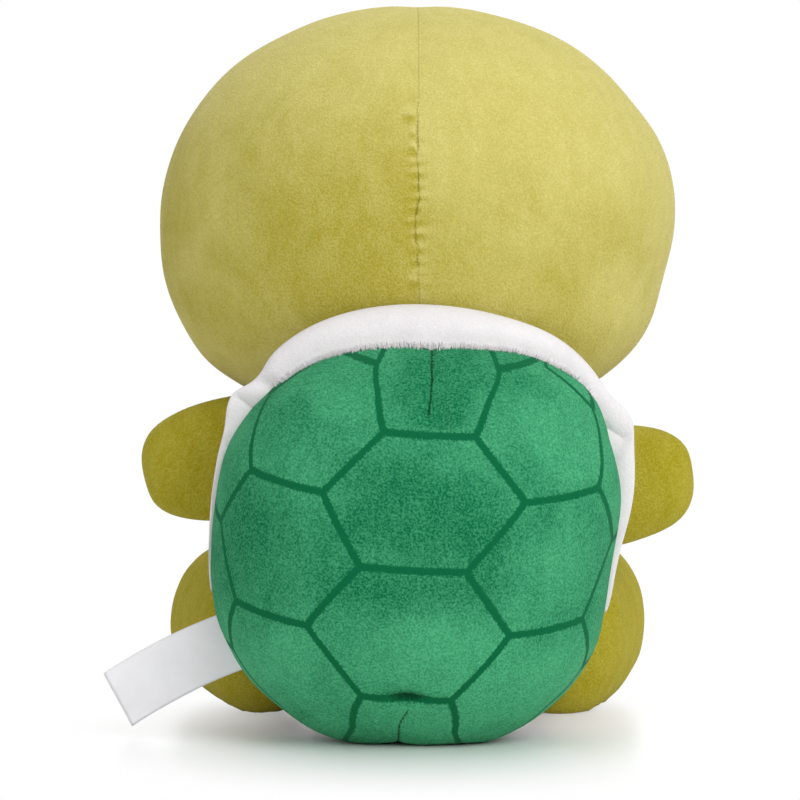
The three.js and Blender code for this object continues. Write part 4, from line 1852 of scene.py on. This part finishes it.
    def meeting(self, shell: Shell) -> tuple[Array, Array]:
        """Finds where the roll meets the dome.

        Args:
            shell: The cushion under it.

        Returns:
            Angles along the roll, and the angle round it that each meets the dome at.
        """
        degrees = np.arange(-self.pile_reach, self.pile_reach, self.pile_step)
        low, high = (np.full(len(degrees), angle) for angle in self.search)
        for _ in range(self.halvings):
            half = (low + high) / 2.0
            outside = shell.form.value(shell.own(self.surface(degrees, half))) > 1.0
            low, high = np.where(outside, half, low), np.where(outside, high, half)
        return degrees, low

    def pile(self, shell: Shell) -> Piece:
        """Hangs short fibres over the dome, along the roll's lower edge.

        Args:
            shell: The cushion under it.

        Returns:
            The fibres as one piece.
        """
        degrees, meets = self.meeting(shell)
        run = run_along(self.surface(degrees, meets))
        random = np.random.default_rng(self.pile_seed)
        count = int(run[-1] / self.strand_step)
        pick = np.interp(random.uniform(0.0, run[-1], count), run, np.arange(len(run))).astype(int)
        turn = meets[pick] - random.uniform(*self.pile_band, count)
        foot = self.surface(degrees[pick], turn, self.folds(degrees[pick], turn))
        back = np.array((0.0, -1.0, 0.0))
        inward = (np.array(shell.middle) - foot) * np.array((1.0, 0.0, 1.0))
        inward /= lengths(inward)
        aside = np.cross(inward, back)
        stray = random.normal(0.0, self.strand_stray, (count, 1))
        way = inward + self.strand_lift * back + stray * aside
        length = self.strand * random.uniform(*self.strand_lengths, (count, 1))
        tip = foot + length * way / lengths(way)
        half = self.strand_width
        corners = (foot - half * aside, foot + half * aside, foot - half * back, tip)
        points = np.stack(corners, axis=1).reshape(-1, 3)
        first = 4 * np.arange(count)[:, None]
        faces = np.concatenate([first + np.array(f) for f in ((0, 1, 3), (1, 2, 3), (2, 0, 3), (0, 2, 1))])
        pile = add_piece("shell_rim_pile", points, faces, WHITE, Cover(points, faces, points).marks)
        pile.data.shade_flat()
        return pile


@dataclass(frozen=True)
class Torso:
    """The white body that carries everything: a front and a back panel over fibre."""

    form: StuffedForm = StuffedForm(
        middle=(0.0, 0.0, 75.5),
        width=160.0,
        depth=124.0,
        rise=75.5,
        drop=78.5,
        fullness=Fullness(level=2.8, above=2.7, below=2.6),
    )
    swelling: Swelling = Swelling(pressure=3.0, cap=3.0)
    lumpiness: Lumpiness = Lumpiness(height=0.5, size=34.0, small_height=0.25, small_size=13.0)
    side_seam: float = 2.0
    # The side seam carries painted shade along its line.
    side_crease: Seam = Seam(depth=0.6, width=1.4, pull=0.5, reach=8.0)
    neck_start: float = 102.0  # where the neck starts
    neck_end: float = 128.0
    neck_gap: float = 1.0  # between the cover and the head's form

    def fit(self, points: Array) -> Array:
        """Points kept under the head, ahead of the shell and on the floor."""
        ahead = Shell().clear_front(points, SEWN_GAP)
        return settle(Head().form.clear(ahead, self.neck_gap))

    def place(self, unit: Array) -> Array:
        """The body's surface."""
        return self.fit(self.form.reach(np.array((0.0, self.side_seam, self.form.middle[2])), unit))

    def build(self) -> list[Piece]:
        """Builds the body's pieces.

        Returns:
            Both panels and the fibre.
        """
        grid = ball_grid(cells=24, crowd=(0.0, 0.35, 0.0))
        cover = sew(grid, self.place, lambda u: np.abs(u[:, 1]) < ON_PLANE, self.swelling)
        cover.lift(self.lumpiness.heights(cover.points, seed=51))
        cover.crease(cover.points[:, 1] - self.side_seam, self.side_crease)
        cover.points = self.fit(cover.points)
        panels = [
            stand_for(add_panel("torso_front_plush", cover, lambda u: u[:, 1] > 0, WHITE), "torso_front"),
            stand_for(add_panel("torso_back_plush", cover, lambda u: u[:, 1] < 0, WHITE), "torso_back"),
        ]
        for piece in panels:
            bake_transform(piece)
        fill = add_fill("torso_fibre", FILL_GRID, self.place, share=0.88, seed=57)
        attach(stand_for(fill, "torso_fill"), "body")
        return [*panels, fill]


@dataclass(frozen=True)
class Limb:
    """What arms and legs share: a sewn cover on a flat root, and fibre."""

    name: str
    side: float
    joint: str
    size: LimbSize
    seed: int
    shift: Xyz  # from the joint to where the limb's root is sewn
    tuck: float = 0.0  # how far the limb starts inside the body
    root_close: float = 0.75
    bend: float = 17.0  # a length from the root along the limb
    nap_and_painted_light: float = -2.0  # darker all over: partly its pile lying deep, partly painted shade
    brushed_and_lit: float = 2.5  # a painted highlight: this much paler at its top
    highlight_over: float = 34.0  # height above the joint over which that sets in
    nap_lumps: Span = (0.8, 28.0)  # height and size of its uneven patches
    swelling: Swelling = Swelling(pressure=3.0, shrink=2.0, cap=3.0)
    lumpiness: Lumpiness = Lumpiness(height=0.5, size=24.0, small_height=0.25, small_size=10.0)
    rings: int = 16  # steps of its grid from root to tip

    def direction(self) -> Xyz:
        """The way the limb points."""
        raise NotImplementedError

    def form(self) -> LimbForm:
        """The limb's form, on its joint."""
        root = joint_place(self.joint) + np.array(self.shift) - self.tuck * np.array(self.direction())
        return LimbForm(root, self.direction(), self.size, self.root_close)

    def surface(self, unit: Array) -> Array:
        """The limb's surface for points of a unit ball."""
        return self.form().place(unit)

    @staticmethod
    def fit(points: Array) -> Array:
        """Points sewn into the body's cover, and kept on the floor."""
        return settle(Torso().form.clear(points, -SEWN_IN))

    def place(self, unit: Array) -> Array:
        """The limb's surface, as it is sewn on."""
        return self.fit(self.surface(unit))

    def shape(self, cover: Cover) -> None:
        """Adds the limb's own seams and folds."""
        raise NotImplementedError

    def panels(self, cover: Cover) -> dict[str, Test]:
        """The limb's panels: the end of each one's name, and its test of the grid's directions."""
        raise NotImplementedError

    def held(self, unit: Array) -> Array:
        """Which points of the grid are sewn down."""
        raise NotImplementedError

    def build(self) -> list[Piece]:
        """Builds the limb's pieces.

        Returns:
            Its panels and its fibre.
        """
        cover = sew(turned_grid(around=20, along=self.rings), self.place, self.held, self.swelling)
        cover.lift(self.lumpiness.heights(cover.points, self.seed))
        above = cover.points[:, 2] - joint_place(self.joint)[2]
        height, size = self.nap_lumps
        uneven = height * lumps(cover.points, size, self.seed + 9)
        # Painted shade all over, a painted highlight at the top, and uneven patches.
        cover.brush(self.nap_and_painted_light + self.brushed_and_lit * smooth(above / self.highlight_over) + uneven)
        self.shape(cover)
        cover.points = self.fit(cover.points)
        grid = turned_grid(around=12, along=10)
        fill = add_fill(f"{self.name}_fibre", grid, self.place, share=0.82, seed=self.seed + 3)
        pieces = []
        for part, inside in self.panels(cover).items():
            node = f"{self.name}_{part}"
            pieces.append(stand_for(add_panel(f"{node}_plush", cover, inside, SHADED_OLIVE), node))
        pieces.append(stand_for(fill, f"{self.name}_fill"))
        root = joint_place(self.joint) * MM
        end = root + np.array(self.direction()) * self.bend * MM
        for piece in pieces:
            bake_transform(piece)
        return pieces


@dataclass(frozen=True)
class Arm(Limb):
    """An arm of two panels, sewn round its edge."""

    tuck: float = 12.0
    droop: float = 0.0  # degrees that it points down
    ahead: float = 14.0  # and ahead
    square: float = 3.3  # how square the arm's outline is, where 2 is half an ellipse
    taper: float = 0.15  # how much of its height is gone at its tip
    # The edge seam carries painted shade along its line.
    edge: Seam = Seam(depth=0.5, width=1.1, pull=0.5, reach=6.0)
    edge_start: Row = (2.0, 8.0, 1.0)  # how the edge seam deepens from its root
    pull: float = 0.55  # height of the folds that fan out from its root
    pulls: float = 11.0  # how closely they lie
    pull_start: float = 14.0  # how far inside the body they meet
    pull_fade: float = 9.0

    def surface(self, unit: Array) -> Array:
        """Shapes the arm, highest at its root, with an outline that rounds off towards its tip.

        Args:
            unit: Points of a unit ball whose pole is the tip.

        Returns:
            A point of the surface for each.
        """
        form = self.form()
        own = form.own(form.place(unit))
        share = np.clip((own[:, 2] - self.tuck) / (self.size.length - self.tuck), 0.0, 1.0)
        outline = (1.0 - share**self.square) ** (1.0 / self.square)
        half = self.size.height / 2.0 * (1.0 - self.taper * share) * outline
        closed = np.where(unit[:, 2] < 0, form.closing(unit), 1.0)
        own[:, 1] = unit[:, 1] / np.maximum(np.hypot(unit[:, 0], unit[:, 1]), TINY) * half * closed
        return form.world(own)

    def direction(self) -> Xyz:
        """Out to the side and a little ahead, and down by its droop, or up where that is below 0."""
        dip, turn = math.radians(self.droop), math.radians(self.ahead)
        return self.side * math.cos(dip) * math.cos(turn), math.cos(dip) * math.sin(turn), -math.sin(dip)

    def held(self, unit: Array) -> Array:
        """The seam round the arm's edge, and its root."""
        return (np.abs(unit[:, 0]) < ON_PLANE) | (unit[:, 2] < AT_ROOT)

    def shape(self, cover: Cover) -> None:
        """Adds the edge seam, and soft pulls that run from the root.

        Args:
            cover: The arm's cover.
        """
        thick, high, along = self.form().own(cover.points).T
        depth = self.edge.depth * steps(along, self.edge_start)
        cover.crease(thick, replace(self.edge, depth=depth))
        fan = np.arctan2(high, along + self.pull_start)
        uneven = Waver(height=1.5, size=0.4, seed=self.seed + 5)
        waves = np.cos(fan * self.pulls + uneven.along(fan))
        cover.lift(self.pull * waves * np.exp(-np.maximum(along, 0.0) / self.pull_fade))

    def panels(self, cover: Cover) -> dict[str, Test]:
        """The front and the back of the arm."""
        return {"front": lambda u: u[:, 0] * self.side > 0, "back": lambda u: u[:, 0] * self.side < 0}


@dataclass(frozen=True)
class Leg(Limb):
    """A leg that lies on the floor, with a sole panel at its toe."""

    # a fainter painted highlight at its top
    brushed_and_lit: float = 0.8
    toe_out: float = 12.0  # degrees that it points out to its side
    sole_ring: int = 5  # ring of its grid that the sole is sewn to
    # The sole's seam carries painted shade along its line.
    sole_crease: Seam = Seam(depth=0.6, width=1.3, pull=0.6, reach=7.0)
    sole_scale: float = 0.6  # distance from that ring on the ball, in thicknesses of the leg
    folds: Row = (14.0, -12.0, 0.5)  # height of the folds at the floor
    fold_size: float = 7.0
    fold_tall: Xyz = (1.0, 1.0, 0.3)  # draws the folds out upwards
    fold_start: float = 20.0  # length beside the root over which they set in

    def direction(self) -> Xyz:
        """Ahead and out to the side, level with the floor."""
        turn = math.radians(self.toe_out)
        return self.side * math.sin(turn), math.cos(turn), 0.0

    def sole_edge(self) -> float:
        """Height of the sole's seam on the grid's ball."""
        return math.cos(math.pi * self.sole_ring / self.rings)

    def held(self, unit: Array) -> Array:
        """The sole's seam, and the leg's root."""
        return (np.abs(unit[:, 2] - self.sole_edge()) < ON_RING) | (unit[:, 2] < AT_ROOT)

    def shape(self, cover: Cover) -> None:
        """Adds the sole's seam, and folds where the leg meets the floor.

        Args:
            cover: The leg's cover.
        """
        along = self.form().own(cover.points)[:, 2]
        ring = (cover.unit[:, 2] - self.sole_edge()) * self.size.thickness * self.sole_scale
        cover.crease(ring, self.sole_crease)
        height = steps(cover.points[:, 2], self.folds) * smooth(along / self.fold_start)
        cover.lift(height * lumps(cover.points * np.array(self.fold_tall), self.fold_size, self.seed + 6))

    def panels(self, cover: Cover) -> dict[str, Test]:
        """The leg's cover and its sole, parted at the finer grid's ring nearest to the seam."""
        seam = cover.unit[np.argmin(np.abs(cover.unit[:, 2] - self.sole_edge())), 2]
        return {"cover": lambda u: u[:, 2] < seam, "sole": lambda u: u[:, 2] > seam}


@dataclass(frozen=True)
class Label:
    """A plain ribbon folded in two, sewn into the shell's seam at its fold, with both its cut ends free."""

    width: float = 25.0
    length: float = 52.0
    ribbon: float = 0.32  # its thickness
    root_gap: float = 0.8  # between its two leaves at the fold
    end_gap: float = 2.4  # and at their cut ends
    bow: float = 3.0
    curl: float = 1.4  # how far the corners of its end turn, one ahead and one back
    curl_turn: float = 0.9  # of half a turn from side to side
    ripple: float = 0.8
    ripples: float = 7.0  # radians along it
    ripple_slant: float = 2.0  # and across it
    cup: float = 1.3  # how far its sides lie ahead of its middle
    slack: float = 0.5  # how far the leaf that lies ahead stands off and hangs lower
    slack_ripples: float = 9.0
    dip: float = 27.0  # degrees that it hangs down
    sag: float = 0.105  # how much steeper it hangs at its end than on the whole
    spare: float = 0.8  # how much longer the leaf that lies ahead is
    bend: float = 9.0
    edge: float = 0.04  # its firmer edge, as a share of its width
    rows: int = 41  # points along each leaf
    columns: int = 25
    fold_points: int = 9

    def axes(self) -> tuple[Array, Array, Array]:
        """The ways along the ribbon, ahead of it and across it."""
        dip = math.radians(self.dip)
        along = np.array((-math.cos(dip), 0.0, -math.sin(dip)))
        ahead = np.array((0.0, 1.0, 0.0))
        return along, ahead, np.cross(along, ahead)

    def path(self) -> Array:
        """Folds the ribbon, seen on edge.

        Returns:
            How far along and how far ahead each point lies.
        """
        share = np.linspace(0.0, 1.0, self.rows)
        turn = np.linspace(-math.pi / 2.0, math.pi / 2.0, self.fold_points + 2)[1:-1]
        apart = (self.root_gap + (self.end_gap - self.root_gap) * share) / 2.0
        fold = self.root_gap / 2.0
        return np.concatenate([
            np.stack([share * self.length, -apart], axis=1)[::-1],
            np.stack([-fold * np.cos(turn), fold * np.sin(turn)], axis=1),
            np.stack([share * (self.length + self.spare), apart], axis=1),
        ])

    def build(self) -> list[Piece]:
        """Builds the ribbon.

        Returns:
            The one piece.
        """
        along, ahead, across = self.axes()
        root = joint_place("label_flap")
        path = self.path()
        run = run_along(path)
        sides = np.linspace(-0.5, 0.5, self.columns)
        reach, side = (v.ravel() for v in np.meshgrid(path[:, 0], sides, indexing="ij"))
        level = np.repeat(path[:, 1], self.columns)
        part = np.maximum(reach, 0.0) / self.length
        slack = np.where(level > 0, self.slack, 0.0) * part
        bow = 2.0 * part * (1.0 - part)
        curve = self.bow * bow + self.curl * part**2 * np.sin(side * math.pi * self.curl_turn)
        wave = self.ripple * np.sin(part * self.ripples + side * self.ripple_slant) + self.cup * side**2
        stand = level + curve + wave * part + slack * np.sin(part * self.slack_ripples)
        hang = side * self.width - self.sag * self.length * bow / 2.0 + slack
        points = root + np.outer(reach, along) + np.outer(stand, ahead) + np.outer(hang, across)
        marks = {
            "ribbon_along": np.repeat(run, self.columns),
            "ribbon_across": side * self.width,
            "ribbon_edge": (np.abs(side) > 0.5 - self.edge).astype(float),
        }
        quads = grid_quads(len(path), self.columns)
        piece = add_cloth("label_ribbon", (points, quads), self.ribbon, SATIN, marks)
        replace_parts(piece, "label")
        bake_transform(piece)
        return [piece]


@dataclass(frozen=True)
class Lamp:
    """A square soft light that looks at the turtle's middle."""

    name: str
    place: Xyz
    size: float
    power: float
    aim: Xyz = (0.0, 0.0, 150.0)

    def build(self) -> None:
        """Puts the lamp in the scene."""
        data = bpy.data.lights.new(self.name, "AREA")
        data.size = self.size * MM
        data.energy = self.power
        lamp = add_object(self.name, data)
        lamp.location = [c * MM for c in self.place]
        aim = Vector([c * MM for c in self.aim]) - lamp.location
        lamp.rotation_euler = aim.to_track_quat("-Z", "Y").to_euler()


@dataclass(frozen=True)
class Studio:
    """Pale table, soft light and the camera at the photograph's place."""

    camera_place: Xyz = (-7.7, -1287.3, 180.9)
    pitch: float = -1.927  # degrees that the camera looks up
    focal: float = 2990.0  # in pixels of the picture
    picture: float = 800.0  # its width in pixels
    sensor: float = 36.0
    table: float = 6000.0
    ambient: float = 0.35  # strength of the even light from all round
    lamps: tuple[Lamp, ...] = (
        Lamp("key", (900.0, -1150.0, 1000.0), size=1300.0, power=18.5),
        Lamp("fill", (-1300.0, -1000.0, 700.0), size=1400.0, power=5.0),
        Lamp("top", (0.0, 50.0, 1500.0), size=1600.0, power=8.0),
        Lamp("front", (300.0, 1500.0, 800.0), size=1300.0, power=8.0),
    )

    def camera(self) -> None:
        """Puts the camera behind the turtle, a little above its middle."""
        data = bpy.data.cameras.new("camera")
        data.sensor_width = self.sensor
        data.lens = self.focal / self.picture * self.sensor
        camera = add_object("camera", data)
        camera.location = [c * MM for c in self.camera_place]
        camera.rotation_euler = (math.radians(90.0 + self.pitch), 0.0, 0.0)
        bpy.context.scene.camera = camera

    def world(self) -> None:
        """Even light from all round, and a white background."""
        world = bpy.data.worlds.new("studio")
        bpy.context.scene.world = world
        graph = Graph(world)
        light = graph.fill(graph.first("BACKGROUND"), {"Color": WHITE_LIGHT, "Strength": self.ambient})
        backdrop = graph.fill(graph.node("ShaderNodeBackground"), {"Color": WHITE_LIGHT})
        graph.show(graph.seen(), light, backdrop, "OUTPUT_WORLD")

    def build(self) -> None:
        """Sets up the studio."""
        half = self.table / 2.0
        corners = np.array([(-half, -half, 0.0), (half, -half, 0.0), (half, half, 0.0), (-half, half, 0.0)])
        table = plain_mesh("table", corners, [[0, 1, 2, 3]])
        table.data.materials.append(StudioFloor().material())
        self.camera()
        self.world()
        for lamp in self.lamps:
            lamp.build()
        bpy.context.scene.view_settings.view_transform = "Standard"


ARM_SIZE = LimbSize(length=60.0, thickness=37.0, height=56.0, root_thickness=24.0, root_height=44.0)
LEFT_LEG_SIZE = LimbSize(length=104.0, thickness=64.0, height=73.0, root_thickness=54.0, root_height=72.0)
RIGHT_LEG_SIZE = replace(LEFT_LEG_SIZE, height=79.0, root_height=77.0)

LEFT, RIGHT = -1.0, 1.0

ASSEMBLIES = (
    Head(),
    Torso(),
    Shell(),
    Rim(),
    Arm("left_arm", LEFT, "left_arm_swing", ARM_SIZE, 61, shift=(-0.7, 0.0, -6.8), droop=9.0),
    Arm("right_arm", RIGHT, "right_arm_swing", ARM_SIZE, 71, shift=(-3.6, 0.0, -9.9), droop=-7.0),
    Leg("left_leg", LEFT, "left_leg_splay", LEFT_LEG_SIZE, 81, shift=(2.7, -35.0, 0.0), toe_out=13.5),
    Leg("right_leg", RIGHT, "right_leg_splay", RIGHT_LEG_SIZE, 91, shift=(-7.0, -33.0, 0.0), toe_out=10.5),
    Label(),
)


def main() -> None:
    """Builds the studio and every sub-assembly in order, and notes the sizes."""
    logging.basicConfig(level=logging.INFO, format="%(message)s")
    Studio().build()
    for assembly in ASSEMBLIES:
        for piece in assembly.build():
            log.info("%s: %d faces", piece.name, len(piece.data.polygons))


if __name__ == "__main__":
    main()
